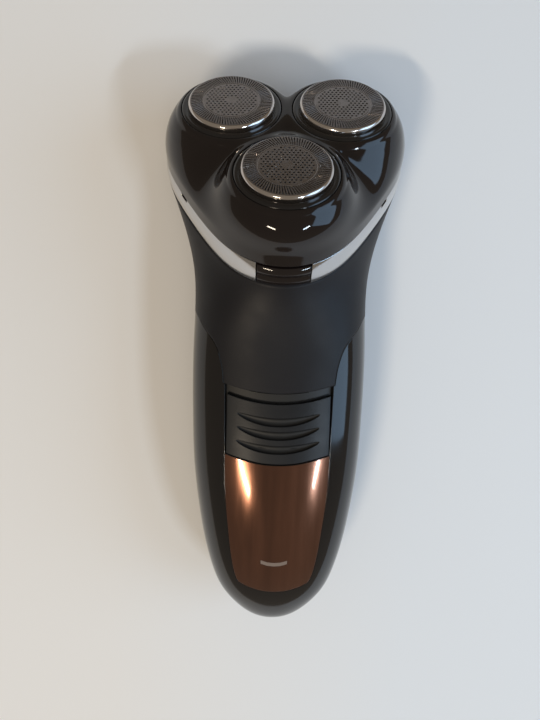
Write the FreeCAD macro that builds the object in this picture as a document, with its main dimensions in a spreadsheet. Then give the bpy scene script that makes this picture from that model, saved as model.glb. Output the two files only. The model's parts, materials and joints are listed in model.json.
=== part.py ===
import FreeCAD, Part
import math
import os
import Sketcher
from FreeCAD import Vector as V, Rotation, Placement

doc = FreeCAD.newDocument("rotary_shaver")
sheet = doc.addObject("Spreadsheet::Sheet", "Sizes")
ROWS = [
    ("shift_y", 1.9), ("head_y", 68.83), ("head_z", 35.68), ("head_tilt", 47.0),
    ("wall", 2.2), ("skin_step", 1.1), ("seam_z", 18.0),
    ("cap_rad", 11.5), ("cap_ring", 17.1), ("cap_top", 0.4), ("cap_tall", 5.6), ("cap_float", 1.5),
    ("ring_out", 13.4), ("ring_flange", 14.2), ("ring_high", -1.8), ("ring_low", -7.6), ("flange_thick", 0.9),
    ("slot_in", 7.6), ("slot_out", 10.7), ("slot_wide", 0.3), ("slot_count", 60),
    ("cover_low", -18.2), ("band_high", -18.5), ("band_thick", 1.8), ("cover_wall", 1.8),
    ("plate_low", -10.9), ("plate_thick", 1.2), ("plate_hole", 8.4),
    ("knob_rad", 6.0), ("knob_thick", 1.6), ("stem_rad", 1.9), ("stem_len", 2.6),
    ("hub_rad", 4.4), ("hub_low", -8.6), ("hub_flange", 8.2), ("hub_socket", 5.1), ("socket_deep", 2.2),
    ("blade_count", 15), ("blade_thick", 0.5), ("blade_out", 10.6), ("blade_in", 7.3), ("blade_high", -0.45), ("blade_ring_low", -3.9), ("blade_ring_thick", 0.6),
    ("spindle_rad", 3.2), ("spindle_low", -12.6), ("spindle_high", -9.3), ("tip_side", 3.0), ("tip_high", -7.0), ("spline_side", 2.6), ("spline_gap", 0.2), ("spline_roof", -9.9), ("boss_high", -11.7),
    ("gear_module", 0.6), ("gear_teeth", 36), ("pinion_teeth", 21), ("gear_low", -16.8), ("gear_thick", 2.2), ("gear_bore", 1.15), ("pin_rad", 1.0),
    ("carrier_low", -18.3), ("carrier_thick", 1.2),
    ("motor_rad", 7.75), ("motor_len", 14.4), ("motor_shaft", 0.75), ("endcap_len", 1.8),
    ("turret_high", -13.0), ("turret_roof", 1.0), ("turret_lobe", 12.8), ("turret_wall", 1.0), ("turret_mid", 16.5),
    ("deck_floor_low", -19.8), ("deck_floor_thick", 1.2), ("spindle_hole", 3.6),
    ("hinge_q", -27.6), ("hinge_h", -17.3), ("hinge_pin_rad", 0.7), ("knuckle_rad", 1.7), ("hinge_bore", 0.77),
    ("cell_rad", 7.0), ("cell_len", 50.0), ("cell_x", -9.0), ("cell_y", -52.0), ("cell_z", 12.6), ("boss_rad", 3.2), ("bore_rad", 2.3),
    ("board_len", 60.0), ("board_wide", 28.0), ("board_thick", 1.6), ("board_z", 24.2), ("board_y", -62.0),
    ("frame_len", 74.0), ("frame_wide", 33.0), ("frame_thick", 1.6), ("frame_z", 20.4), ("frame_y", -64.0),
    ("inlet_wide", 9.6), ("inlet_tall", 5.6), ("inlet_deep", 9.5), ("inlet_wall", 1.0), ("inlet_z", 16.0), ("pin_gap", 5.0), ("contact_rad", 0.9), ("contact_len", 5.0),
    ("screw_rad", 1.1), ("screw_head", 1.8), ("screw_len", 6.0), ("screw_head_thick", 1.2),
    ("switch_travel", 2.5), ("switch_gap", 0.2), ("press_travel", 1.1), ("coil_rad", 1.3), ("coil_wire", 0.2), ("coil_pitch", 0.9), ("wire_rad", 0.6), ("led_rad", 1.5),
]
sheet.set("A1", "alias"); sheet.set("B1", "mm")
for i, (name, val) in enumerate(ROWS):
    r = str(i + 2)
    sheet.set("A" + r, name)
    sheet.set("B" + r, str(val))
    sheet.setAlias("B" + r, name)
doc.recompute()
S = {name: float(sheet.get(name)) for name, val in ROWS}
SH = S["shift_y"]
TILT = math.radians(S["head_tilt"])
NH = V(0, math.sin(TILT), math.cos(TILT))
UH = V(0, -math.cos(TILT), math.sin(TILT))
HEAD = Placement(V(0, S["head_y"] + SH, S["head_z"]), Rotation(V(1, 0, 0), -S["head_tilt"]))
HP = HEAD.Base
# cap centres in the head frame: local Y points to the rear of the head
RR = S["cap_ring"]
CAPS = {"front": (0.0, -RR, 0.0), "right": (RR * math.cos(math.radians(30)), RR * 0.5, 120.0), "left": (-RR * math.cos(math.radians(30)), RR * 0.5, -120.0)}
OUT = {}
KEEP = []

def note(o):
    KEEP.append(o)
    return o

def feat(label, shape, place=None, final=True):
    o = doc.addObject("Part::Feature", label.replace(".", "_"))
    o.Label = label
    o.Shape = shape
    o.Placement = place if place is not None else Placement()
    if final:
        OUT[label] = o
    return note(o)

def prim(kind, label, props, place=None, final=False):
    o = doc.addObject("Part::" + kind, label)
    o.Label = label
    for k, e in props.items():
        o.setExpression(k, e)
    if place is not None:
        o.Placement = place
    if final:
        OUT[label] = o
    return note(o)

def cutobj(label, base, tool, final=True, place=None):
    o = doc.addObject("Part::Cut", label)
    o.Label = label
    o.Base = base
    o.Tool = tool
    if place is not None:
        o.Placement = place
    if final:
        OUT[label] = o
    return note(o)

def fuseobj(label, parts, final=True, place=None):
    o = doc.addObject("Part::MultiFuse", label)
    o.Label = label
    o.Shapes = parts
    if place is not None:
        o.Placement = place
    if final:
        OUT[label] = o
    return note(o)

def cyl(r, h0, h1, x=0.0, y=0.0, axis=None):
    if axis is None:
        return Part.makeCylinder(r, h1 - h0, V(x, y, h0))
    return Part.makeCylinder(r, h1 - h0, V(x, y, 0) + axis * h0, axis)

def box(x0, x1, y0, y1, z0, z1):
    return Part.makeBox(x1 - x0, y1 - y0, z1 - z0, V(x0, y0, z0))

def prism(pts, z0, z1):
    w = Part.makePolygon([V(p[0], p[1], z0) for p in pts] + [V(pts[0][0], pts[0][1], z0)])
    return Part.Face(w).extrude(V(0, 0, z1 - z0))

def clean(s):
    try:
        s2 = s.removeSplitter()
        if s2.isValid():
            return s2
    except Exception:
        pass
    return s

def spl(points):
    c = Part.BSplineCurve()
    c.interpolate(Points=points, PeriodicFlag=True)
    return Part.Wire([c.toShape()])

# ------------------------------------------------------------------ outlines
COS = [31.393, -0.248, -1.113, 4.136, -0.463, -0.095, 0.262, -0.031, -0.015]

def tri_r(a):
    # radius of the rounded-triangle head outline; a is measured from the front
    return sum(c * math.cos(k * a) for k, c in enumerate(COS))

LQ = [RR, -RR / 2.0, -RR / 2.0]
LX = [0.0, RR * math.cos(math.radians(30)), -RR * math.cos(math.radians(30))]

def lobe_r(a, rho, soft, push):
    # radius of the three-lobed outline along direction a; rho is the lobe radius
    dx, dq = math.sin(a), math.cos(a)
    lo, hi = 5.0, 60.0
    for it in range(40):
        mid = 0.5 * (lo + hi)
        s = 0.0
        for x, q in zip(LX, LQ):
            d = math.hypot(mid * dx - x * push, mid * dq - q * push) - rho
            s += math.exp(-d / soft)
        f = -soft * math.log(s)
        if f < 0:
            lo = mid
        else:
            hi = mid
    return 0.5 * (lo + hi)

def mix(a, b, f):
    return a + (b - a) * f

def cover_r(a, h):
    # outer radius of the head cover at height h below the shaving plane
    hh = -h
    rho = 15.3 if hh < 3.5 else 15.3 + 2.6 * (1 - math.exp(-(hh - 3.5) / 3.2))
    l = lobe_r(a, rho, 2.2, 1.0)
    g = tri_r(a) + 0.25 * (hh - 18.2) / 18.2
    f = min(1.0, max(0.0, (hh - 5.0) / 10.0))
    f = f * f * (3 - 2 * f)
    return mix(l, g, f)

def ring_wire(fn, h, off=0.0, n=72, local=True):
    pts = []
    for i in range(n):
        a = 2 * math.pi * i / n
        r = fn(a) - off
        pts.append(V(r * math.sin(a), -r * math.cos(a), h))
    return spl(pts)

# ------------------------------------------------------------------ head cover
def cover_solid(off, hs):
    ws = [ring_wire(lambda a, h=h: cover_r(a, h), h, off) for h in hs]
    return Part.makeLoft(ws, True, False)

outer = cover_solid(0.0, [S["cover_low"], -16.0, -13.5, -11.0, -9.0, -7.0, -5.5, -4.2])
inner = cover_solid(S["cover_wall"], [S["cover_low"] - 0.5, -16.0, -13.5, -11.0, -9.0, -7.6, -6.3])
cover = outer
for k, (x, y, ang) in CAPS.items():
    cover = cover.fuse(Part.makeCone(16.6, 13.95, 5.2, V(x, y, -7.4)))
cover = cover.cut(inner)
for k, (x, y, ang) in CAPS.items():
    cover = cover.cut(cyl(S["ring_out"] + 0.12, -20, 2, x, y))
# central boss that the retainer stem locks into
boss = cyl(2.7, -7.6, -5.5).cut(cyl(2.2, -7.7, -6.0))
cover = cover.fuse(boss)
# tongue the release bar holds, with an inward nose at its foot
tongue = box(-3, 3, -31.3, -30.2, -22.3, -17.4).fuse(box(-3, 3, -33.2, -30.4, -18.2, -16.8)).fuse(box(-3, 3, -30.3, -29.2, -22.3, -21.4))
cover = cover.fuse(tongue)
# rear hinge knuckle and its web
hq, hh = -S["hinge_q"], S["hinge_h"]
def xcyl(r, x0, x1, y, z):
    return Part.makeCylinder(r, x1 - x0, V(x0, y, z), V(1, 0, 0))
for sx in (-1, 1):
    x0, x1 = (3.05, 6.25) if sx > 0 else (-6.25, -3.05)
    cover = cover.cut(xcyl(S["knuckle_rad"] + 0.3, x0, x1, hq, hh)).cut(box(x0, x1, hq - 4.5, hq + 3, -19.0, -15.6))
kn = xcyl(S["knuckle_rad"], -2.95, 2.95, hq, hh).fuse(box(-2.95, 2.95, 24.6, 27.9, -18.2, -15.9))
cover = cover.fuse(kn).cut(xcyl(S["hinge_bore"], -4, 4, hq, hh))
feat("head_cover", clean(cover), HEAD)

# retaining plate with three clear holes and side arms
plate = None
for k, (x, y, ang) in CAPS.items():
    c = cyl(12.2, S["plate_low"], S["plate_low"] + S["plate_thick"], x, y)
    plate = c if plate is None else plate.fuse(c)
plate = plate.fuse(cyl(11.0, S["plate_low"], S["plate_low"] + S["plate_thick"]))
for k, (x, y, ang) in CAPS.items():
    plate = plate.cut(cyl(S["plate_hole"], -20, 2, x, y))
    d = math.hypot(x, y)
    rim = cyl(9.6, S["plate_low"] + S["plate_thick"] - 0.1, S["plate_low"] + S["plate_thick"] + 0.5, x, y).cut(cyl(S["plate_hole"], -20, 2, x, y))
    plate = plate.fuse(rim)
plate = plate.cut(cyl(2.2, -20, 2))
feat("retaining_plate", clean(plate), HEAD)

# retainer knob: revolve-like stack of cylinders bound to the sheet
kb = prim("Cylinder", "knob_disc", {"Radius": "Sizes.knob_rad", "Height": "Sizes.knob_thick"}, Placement(V(0, 0, S["plate_low"] - S["knob_thick"] - 0.1), Rotation()))
ks = prim("Cylinder", "knob_stem", {"Radius": "Sizes.stem_rad", "Height": "Sizes.stem_len + Sizes.knob_thick"}, Placement(V(0, 0, S["plate_low"] - S["knob_thick"] - 0.1), Rotation()))
kg1 = prim("Box", "knob_grip_a", {"Length": "Sizes.knob_rad - 1.2", "Width": "Sizes.knob_rad * 2 - 3", "Height": "0.9 mm"}, Placement(V(1.1, -S["knob_rad"] + 1.5, S["plate_low"] - S["knob_thick"] - 0.2), Rotation()))
kg2 = prim("Box", "knob_grip_b", {"Length": "Sizes.knob_rad - 1.2", "Width": "Sizes.knob_rad * 2 - 3", "Height": "0.9 mm"}, Placement(V(-S["knob_rad"] + 0.1, -S["knob_rad"] + 1.5, S["plate_low"] - S["knob_thick"] - 0.2), Rotation()))
kf = fuseobj("knob_body", [kb, ks], final=False)
kg = fuseobj("knob_cuts", [kg1, kg2], final=False)
cutobj("retainer_knob", kf, kg, place=HEAD)

# ------------------------------------------------------------------ caps
def cap_shape():
    r, t = S["cap_rad"], S["cap_top"]
    prof = [(0, 0), (r - 0.7, 0), (r, -0.7), (r, -S["cap_tall"]), (r - t, -S["cap_tall"]), (r - t, -0.9), (r - 0.9, -t), (0, -t)]
    w = Part.makePolygon([V(p[0], 0, p[1]) for p in prof] + [V(0, 0, 0)])
    s = Part.Face(w).revolve(V(0, 0, 0), V(0, 0, 1), 360)
    tools = []
    n = int(S["slot_count"])
    for i in range(n):
        b = box(S["slot_in"], S["slot_out"], -S["slot_wide"] / 2, S["slot_wide"] / 2, -1.0, 0.5)
        b.rotate(V(S["slot_in"], 0, 0), V(0, 0, 1), 12)
        b.rotate(V(0, 0, 0), V(0, 0, 1), 360.0 * i / n)
        tools.append(b)
    for i in range(-3, 4):
        for j in range(-3, 4):
            x, y = i * 1.7 + (j % 2) * 0.85, j * 1.48
            d = math.hypot(x, y)
            if 1.9 < d < 6.3:
                tools.append(cyl(0.3, -1, 0.5, x, y))
    return s.cut(Part.makeCompound(tools))

CAP = cap_shape()
if len(CAP.Solids) == 1:
    CAP = CAP.Solids[0]

def ring_shape():
    r0, r1, f = S["cap_rad"] + 0.03, S["ring_out"], S["ring_flange"]
    hi, lo, ft = S["ring_high"], S["ring_low"], S["flange_thick"]
    prof = [(r0, hi - 0.1), (r1 - 0.9, hi), (r1, hi - 0.9), (r1, lo + ft), (f, lo + ft), (f, lo), (r0 - 0.7, lo), (r0 - 0.7, lo + 1.4), (r0, lo + 1.9)]
    w = Part.makePolygon([V(p[0], 0, p[1]) for p in prof] + [V(prof[0][0], 0, prof[0][1])])
    return Part.Face(w).revolve(V(0, 0, 0), V(0, 0, 1), 360)

RING = ring_shape()

def blades_shape():
    ri, ro = S["blade_in"], S["blade_out"]
    lo = S["blade_ring_low"]
    s = cyl(ro, lo, lo + S["blade_ring_thick"]).cut(cyl(ri, lo - 1, lo + 2))
    n = int(S["blade_count"])
    parts = []
    for i in range(n):
        b = box(ri + 0.4, ro - 0.1, -S["blade_thick"] / 2, S["blade_thick"] / 2, lo + 0.1, S["blade_high"])
        b.rotate(V(0, 0, lo), V(1, 0, 0), 18)
        c = b.common(cyl(ro - 0.1, lo, S["blade_high"]))
        c.rotate(V(0, 0, 0), V(0, 0, 1), 360.0 * i / n)
        parts.append(c)
    return clean(s.fuse(parts))

BLADES = blades_shape()

def hub_shape():
    lo = S["hub_low"]
    s = cyl(S["hub_rad"], lo, -4.4).fuse(cyl(S["hub_flange"], -4.7, S["blade_ring_low"])).fuse(cyl(S["blade_in"] - 0.05, S["blade_ring_low"] - 0.1, -3.1))
    q = S["hub_socket"] / 2
    s = s.cut(box(-q, q, -q, q, lo - 1, lo + S["socket_deep"]))
    return clean(s.cut(cyl(2.4, -3.9, 0)))

HUB = hub_shape()

def tooth_profile(z, m, backlash, add, ded, centre_gap):
    rp = m * z / 2.0
    rb = rp * math.cos(math.radians(20))
    rt = rp + add * m
    rr = rp - ded * m
    inv = lambda r: math.sqrt(max(0.0, (r / rb) ** 2 - 1)) - math.atan(math.sqrt(max(0.0, (r / rb) ** 2 - 1)))
    half = (math.pi * m / 2 - backlash) / 2 / rp
    pts = []
    pitch = 2 * math.pi / z
    base = -math.pi / 2 + (pitch / 2 if centre_gap else 0.0)
    radii = [max(rb, rr), mix(max(rb, rr), rp, 0.6), mix(rp, rt, 0.4), rt]
    for i in range(z):
        c = base + i * pitch
        hr = lambda r: half + inv(rp) - inv(r)
        pts.append((rr, c - hr(radii[0]) - 0.004))
        for r in radii:
            pts.append((r, c - hr(r)))
        for r in reversed(radii):
            pts.append((r, c + hr(r)))
        pts.append((rr, c + hr(radii[0]) + 0.004))
    out = []
    for r, a in pts:
        p = (r * math.cos(a), r * math.sin(a))
        if not out or math.hypot(p[0] - out[-1][0], p[1] - out[-1][1]) > 1e-4:
            out.append(p)
    return out

GL, GT = S["gear_low"], S["gear_thick"]
def gear_shape():
    # spur wheel whose gap faces local +Y when placed at the front spindle
    pr = tooth_profile(int(S["gear_teeth"]), S["gear_module"], 0.16, 0.85, 1.2, True)
    pr = [(x, -y) for x, y in pr][::-1]
    g = prism(pr, GL, GL + GT)
    g = g.cut(cyl(8.3, GL + 1.3, GL + GT + 1).cut(cyl(3.4, GL, GL + GT + 2)))
    q = S["spline_side"] / 2
    g = g.fuse(box(-q, q, -q, q, GL + GT - 0.2, S["boss_high"]))
    return g.cut(cyl(S["gear_bore"], GL - 1, GL + 2.0))

GEAR = clean(gear_shape())

def spindle_shape():
    q = S["tip_side"] / 2
    s = cyl(S["spindle_rad"], S["spindle_low"], S["spindle_high"]).fuse(box(-q, q, -q, q, S["spindle_high"] - 0.2, S["tip_high"]))
    k = S["spline_side"] / 2 + S["spline_gap"]
    return clean(s.cut(box(-k, k, -k, k, S["spindle_low"] - 1, S["spline_roof"])))

SPIN = spindle_shape()
for k, (x, y, ang) in CAPS.items():
    pl = HEAD.multiply(Placement(V(x, y, 0), Rotation(V(0, 0, 1), ang)))
    feat("shaving_cap_" + k, CAP.copy(), pl)
    feat("guard_ring_" + k, RING.copy(), pl)
    feat("cutter_blades_" + k, BLADES.copy(), pl)
    feat("cutter_hub_" + k, HUB.copy(), pl)
    feat("drive_gear_" + k, GEAR.copy(), pl)
    feat("drive_spindle_" + k, SPIN.copy(), pl)

# ------------------------------------------------------------------ motor and gear carrier
pp = tooth_profile(int(S["pinion_teeth"]), S["gear_module"], 0.16, 0.85, 1.2, False)
pin = prism(pp, GL + 0.1, GL + GT - 0.1).cut(cyl(S["motor_shaft"], GL - 1, GL + GT + 1))
feat("motor_pinion", pin, HEAD)
CL, CT = S["carrier_low"], S["carrier_thick"]
shaft = prim("Cylinder", "motor_shaft", {"Radius": "Sizes.motor_shaft", "Height": "Sizes.gear_thick + Sizes.motor_len + 1.4"}, HEAD.multiply(Placement(V(0, 0, CL - S["motor_len"] + 0.6), Rotation())), final=True)
can_o = prim("Cylinder", "can_outer", {"Radius": "Sizes.motor_rad", "Height": "Sizes.motor_len"}, Placement(V(0, 0, CL - S["motor_len"]), Rotation()))
can_i = prim("Cylinder", "can_inner", {"Radius": "Sizes.motor_rad - 0.8", "Height": "Sizes.motor_len"}, Placement(V(0, 0, CL - S["motor_len"] - 0.8), Rotation()))
can_b = prim("Cylinder", "can_bearing", {"Radius": "Sizes.motor_shaft + 0.1", "Height": "Sizes.motor_len * 2"}, Placement(V(0, 0, CL - S["motor_len"]), Rotation()))
can_t = fuseobj("can_void", [can_i, can_b], final=False)
cutobj("motor_can", can_o, can_t, place=HEAD)
ec_o = prim("Cylinder", "endcap_disc", {"Radius": "Sizes.motor_rad", "Height": "Sizes.endcap_len"}, Placement(V(0, 0, CL - S["motor_len"] - S["endcap_len"]), Rotation()))
ec_b = prim("Box", "endcap_tab_a", {"Length": "1.6 mm", "Width": "0.5 mm", "Height": "2.2 mm"}, Placement(V(-4.8, -0.25, CL - S["motor_len"] - S["endcap_len"] - 1.6), Rotation()))
ec_c = prim("Box", "endcap_tab_b", {"Length": "1.6 mm", "Width": "0.5 mm", "Height": "2.2 mm"}, Placement(V(3.2, -0.25, CL - S["motor_len"] - S["endcap_len"] - 1.6), Rotation()))
fuseobj("motor_endcap", [ec_o, ec_b, ec_c], place=HEAD)

car = None
for k, (x, y, ang) in CAPS.items():
    c = cyl(S["turret_lobe"] - S["turret_wall"] - 0.3, CL, CL + CT, x, y)
    car = c if car is None else car.fuse(c)
car = car.fuse(cyl(S["turret_mid"] - S["turret_wall"] - 0.3, CL, CL + CT)).cut(cyl(3.2, -30, 0))
SCR = [(13.6 * math.sin(math.radians(a)), -13.6 * math.cos(math.radians(a))) for a in (60, 180, 300)]
pins = []
for k, (x, y, ang) in CAPS.items():
    car = car.cut(cyl(S["pin_rad"], -30, 0, x, y))
    pins.append(cyl(S["pin_rad"], CL, GL + 1.8, x, y))
for x, y in SCR:
    car = car.cut(cyl(S["screw_rad"], -30, 0, x, y))
car = car.fuse(box(-3, 3, -22.5, -21.4, -23.6, CL + 0.2))
feat("gear_carrier", clean(car), HEAD)
feat("gear_pins", Part.makeCompound(pins), HEAD)

# head deck: hair-chamber floor with the raised drive turret
FL, FT = S["deck_floor_low"], S["deck_floor_thick"]
TH = S["turret_high"]
deck = Part.Face(ring_wire(tri_r, FL, S["band_thick"] + 0.15)).extrude(V(0, 0, FT))
to, ti = None, None
for k, (x, y, ang) in CAPS.items():
    a = cyl(S["turret_lobe"], FL + 0.2, TH, x, y)
    b = cyl(S["turret_lobe"] - S["turret_wall"], FL - 1, TH - S["turret_roof"], x, y)
    to = a if to is None else to.fuse(a)
    ti = b if ti is None else ti.fuse(b)
to = to.fuse(cyl(S["turret_mid"], FL + 0.2, TH))
ti = ti.fuse(cyl(S["turret_mid"] - S["turret_wall"], FL - 1, TH - S["turret_roof"]))
deck = deck.fuse(to).cut(ti)
for k, (x, y, ang) in CAPS.items():
    deck = deck.cut(cyl(S["spindle_hole"], -30, 0, x, y))
for x, y in SCR:
    deck = deck.fuse(cyl(2.2, CL + CT, TH - 0.3, x, y)).cut(cyl(S["screw_rad"] , CL - 2, TH - S["turret_roof"] - 0.4, x, y))
# slot for the cover tongue
deck = deck.cut(box(-3.5, 3.5, -36.0, -28.7, -20.5, -18.0))
# hinge ears reach over the band edge to the rear pin
for sx in (-1, 1):
    x0, x1 = (3.3, 6.0) if sx > 0 else (-6.0, -3.3)
    ear = box(x0, x1, 22.4, 24.0, FL + 0.2, -16.9).fuse(box(x0, x1, 23.4, hq, -18.4, -16.9)).fuse(xcyl(S["knuckle_rad"], x0, x1, hq, hh).cut(box(-10, 10, 20, hq, -25, -18.4)))
    deck = deck.fuse(ear)
deck = deck.cut(xcyl(S["hinge_pin_rad"], -8, 8, hq, hh))
feat("head_deck", deck.Solids[0] if len(deck.Solids) == 1 else deck, HEAD)
prim("Cylinder", "head_hinge_pin", {"Radius": "Sizes.hinge_pin_rad", "Height": "12 mm"}, HEAD.multiply(Placement(V(-6.0, hq, hh), Rotation(V(0, 1, 0), 90))), final=True)

def screw(x, y, h, down=True):
    s = cyl(S["screw_rad"], h, h + S["screw_len"] - 2.5, x, y).fuse(cyl(S["screw_head"], h - S["screw_head_thick"], h, x, y))
    return s.cut(box(x - 1.4, x + 1.4, y - 0.25, y + 0.25, h - S["screw_head_thick"] - 0.1, h - S["screw_head_thick"] + 0.5)).cut(box(x - 0.25, x + 0.25, y - 1.4, y + 1.4, h - S["screw_head_thick"] - 0.1, h - S["screw_head_thick"] + 0.5))
feat("deck_screws", Part.makeCompound([screw(x, y, CL) for x, y in SCR]), HEAD)

# ------------------------------------------------------------------ handle skin lofts
B0 = 24.6
def band_plane(q):
    return -B0 - 0.04 * q

def hp(x, q, h):
    return V(x, 0, 0) + HP + UH * q + NH * h

def tri_pts(n, off):
    # outline sampled by angle around the point q = -8
    dense = []
    for i in range(720):
        a = 2 * math.pi * i / 720
        r = tri_r(a) - off
        x, q = r * math.sin(a), r * math.cos(a)
        dense.append((math.atan2(q + 8.0, x) % (2 * math.pi), x, q))
    dense.sort()
    out = []
    for i in range(n):
        t = 2 * math.pi * i / n
        j = 0
        lo, hi = 0, len(dense)
        while lo < hi:
            mid = (lo + hi) // 2
            if dense[mid][0] < t:
                lo = mid + 1
            else:
                hi = mid
        b = dense[lo % len(dense)]
        a = dense[lo - 1]
        da = (b[0] - a[0]) % (2 * math.pi)
        f = ((t - a[0]) % (2 * math.pi)) / da if da > 0 else 0
        out.append((mix(a[1], b[1], f), mix(a[2], b[2], f)))
    return out

STAT = [
    (-87.0, 17.6, -87.0, 14.4, 1.8, 2.0, 0.50, 0.0),
    (-86.6, 19.3, -86.6, 12.6, 4.6, 2.0, 0.50, 0.0),
    (-85.2, 21.6, -85.2, 10.3, 7.8, 2.05, 0.50, 0.0),
    (-82.8, 24.0, -82.8, 8.0, 10.8, 2.1, 0.50, 0.0),
    (-79.0, 26.7, -79.0, 5.8, 14.1, 2.2, 0.50, 0.0),
    (-73.5, 29.7, -73.5, 3.9, 17.5, 2.3, 0.50, 0.0),
    (-66.0, 32.7, -66.0, 2.4, 20.1, 2.35, 0.50, 0.0),
    (-56.0, 35.3, -56.0, 1.1, 22.4, 2.4, 0.49, 0.0),
    (-44.0, 37.2, -44.0, 0.3, 24.2, 2.45, 0.48, 0.0),
    (-30.0, 38.2, -30.0, 0.1, 25.6, 2.5, 0.47, 0.0),
    (-16.0, 38.4, -16.0, 0.8, 26.0, 2.5, 0.47, 0.0),
    (-2.0, 38.2, -2.0, 1.7, 26.0, 2.5, 0.47, 0.0),
    (8.0, 38.3, 9.0, 2.4, 25.7, 2.5, 0.46, 0.0),
    (15.0, 39.0, 21.0, 2.8, 25.3, 2.5, 0.44, 0.04),
    (20.0, 40.1, 35.0, 2.8, 25.6, 2.4, 0.41, 0.2),
    (23.6, 41.3, 50.0, 2.0, 28.0, 2.3, 0.36, 0.5),
]

NS = 64

def sect(st, off, n=NS):
    yf, zf, yb, zb, w, e, c, share = st
    pf, pb = V(0, yf + SH, zf), V(0, yb + SH, zb)
    d = pf - pb
    L = d.Length
    d = d * (1.0 / L)
    cen = pb + d * (c * L)
    af, ab = (1 - c) * L - off, c * L - off
    ww = w - off
    tp = tri_pts(n, 0.0)
    tq = [p[1] + 8.0 for p in tp]
    tw, tf, tb = max(p[0] for p in tp), max(tq), -min(tq)
    pts = []
    for i in range(n):
        t = 2 * math.pi * i / n
        cs, sn = math.cos(t), math.sin(t)
        x = ww * math.copysign(abs(cs) ** (2.0 / e), cs)
        v = (af if sn >= 0 else ab) * math.copysign(abs(sn) ** (2.0 / e), sn)
        xt = tp[i][0] / tw * ww
        vt = tq[i] / tf * af if tq[i] >= 0 else tq[i] / tb * ab
        pts.append(V(mix(x, xt, share), 0, 0) + cen + d * mix(v, vt, share))
    return pts

def catmull(a, b, c, d, f):
    # centripetal-free cubic through b and c
    return (b * 2 + (c - a) * f + (a * 2 - b * 5 + c * 4 - d) * (f * f) + (b * 3 - a - c * 3 + d) * (f * f * f)) * 0.5

def skin(off, extra):
    rows = [sect(st, off) for k, st in enumerate(STAT) if off == 0 or k >= 2]
    tp = tri_pts(NS, off)
    rows.append([hp(x, q, band_plane(q)) for x, q in tp])
    full = []
    m = len(rows)
    for k in range(m - 1):
        full.append(rows[k])
        gap = max((rows[k + 1][i] - rows[k][i]).Length for i in range(NS))
        extra_n = 2 if k == m - 2 else (1 if gap > 9 else 0)
        for j in range(extra_n):
            f = (j + 1.0) / (extra_n + 1)
            A, B, C, D = rows[max(0, k - 1)], rows[k], rows[k + 1], rows[min(m - 1, k + 2)]
            if k == m - 2:
                full.append([B[i] + (C[i] - B[i]) * f for i in range(NS)])
            else:
                full.append([catmull(A[i], B[i], C[i], D[i], f) for i in range(NS)])
    full.append(rows[-1])
    if extra:
        full.append([hp(x, q, band_plane(q) + 2.0) for x, q in tp])
    wires = [spl(r) for r in full]
    faces = [Part.makeRuledSurface(wires[i].Edges[0], wires[i + 1].Edges[0]) for i in range(len(wires) - 1)]
    faces = [f.Faces[0] for f in faces]
    ends = []
    for w in (wires[0], wires[-1]):
        ends.append(Part.Face(w))
    c = Part.Compound(faces + ends)
    c.sewShape()
    so = Part.makeSolid(c.Shells[0])
    if so.Volume < 0:
        so.reverse()
    return so


OUTER = skin(0.0, False)
MIDDLE = skin(S["skin_step"], True)
INNER = skin(S["wall"], True)
SHELL = OUTER.cut(INNER)
print("skins", OUTER.isValid(), OUTER.Volume, "inner", INNER.isValid(), INNER.Volume, "shell", SHELL.isValid(), SHELL.Volume, len(SHELL.Solids))

BIG = 200
def ysh(pts):
    return [(x, y + SH) for x, y in pts]
PANEL = ysh([(-15.1, -22.4), (-10, -23.6), (-5, -24.6), (0, -24.9), (5, -24.6), (10, -23.6), (15.1, -22.4), (14.9, -34), (14.1, -45), (12.8, -58), (11.3, -65.4), (8, -67.6), (4, -69.0), (0, -69.4), (-4, -69.0), (-8, -67.6), (-11.3, -65.4), (-12.8, -58), (-14.1, -45), (-14.9, -34)])
NECK = ysh([(-40, 60), (-40, 18), (-26, 17.5), (-21.4, 13.4), (-18.0, 9.2), (-16.3, 4.0), (-15.6, -1.4), (-10, -2.8), (0, -3.8), (10, -2.8), (15.6, -1.4), (16.3, 4.0), (18.0, 9.2), (21.4, 13.4), (26, 17.5), (40, 18), (40, 60)])
POCK = ysh([(-15.3, -1.4), (-10, -2.8), (0, -3.8), (10, -2.8), (15.3, -1.4), (15.0, -22.1), (10, -23.2), (5, -24.2), (0, -24.5), (-5, -24.2), (-10, -23.2), (-15.0, -22.1)])
SWITCH = ysh([(-14.6, -4.35), (-10, -5.45), (-5, -6.35), (0, -6.65), (5, -6.35), (10, -5.45), (14.6, -4.35), (14.8, -22.0), (10, -23.0), (5, -24.0), (0, -24.3), (-5, -24.0), (-10, -23.0), (-14.8, -22.0)])

def grow(pts, g):
    cx = sum(p[0] for p in pts) / len(pts)
    cy = sum(p[1] for p in pts) / len(pts)
    out = []
    for x, y in pts:
        out.append((x + math.copysign(g, x - cx) if abs(x - cx) > 1 else x, y + math.copysign(g, y - cy)))
    return out

zs = S["seam_z"]
back = SHELL.common(box(-BIG, BIG, -BIG, BIG, -BIG, zs))
front = SHELL.common(box(-BIG, BIG, -BIG, BIG, zs + 0.1, BIG))
neckp = prism(NECK, zs + 0.2, BIG)
neck = front.common(neckp)
front = front.cut(prism(grow(NECK, 0.1), zs - 1, BIG))
topskin = OUTER.cut(MIDDLE)
pan = topskin.common(prism(PANEL, 25, BIG))
front = front.cut(topskin.common(prism(grow(PANEL, 0.08), 24, BIG)))
front = front.cut(topskin.common(prism(POCK, 24, BIG)))
sw = OUTER.common(prism(SWITCH, 30, BIG))
lower = skin(S["skin_step"] - 0.15, True)
sw = sw.cut(lower)
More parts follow.
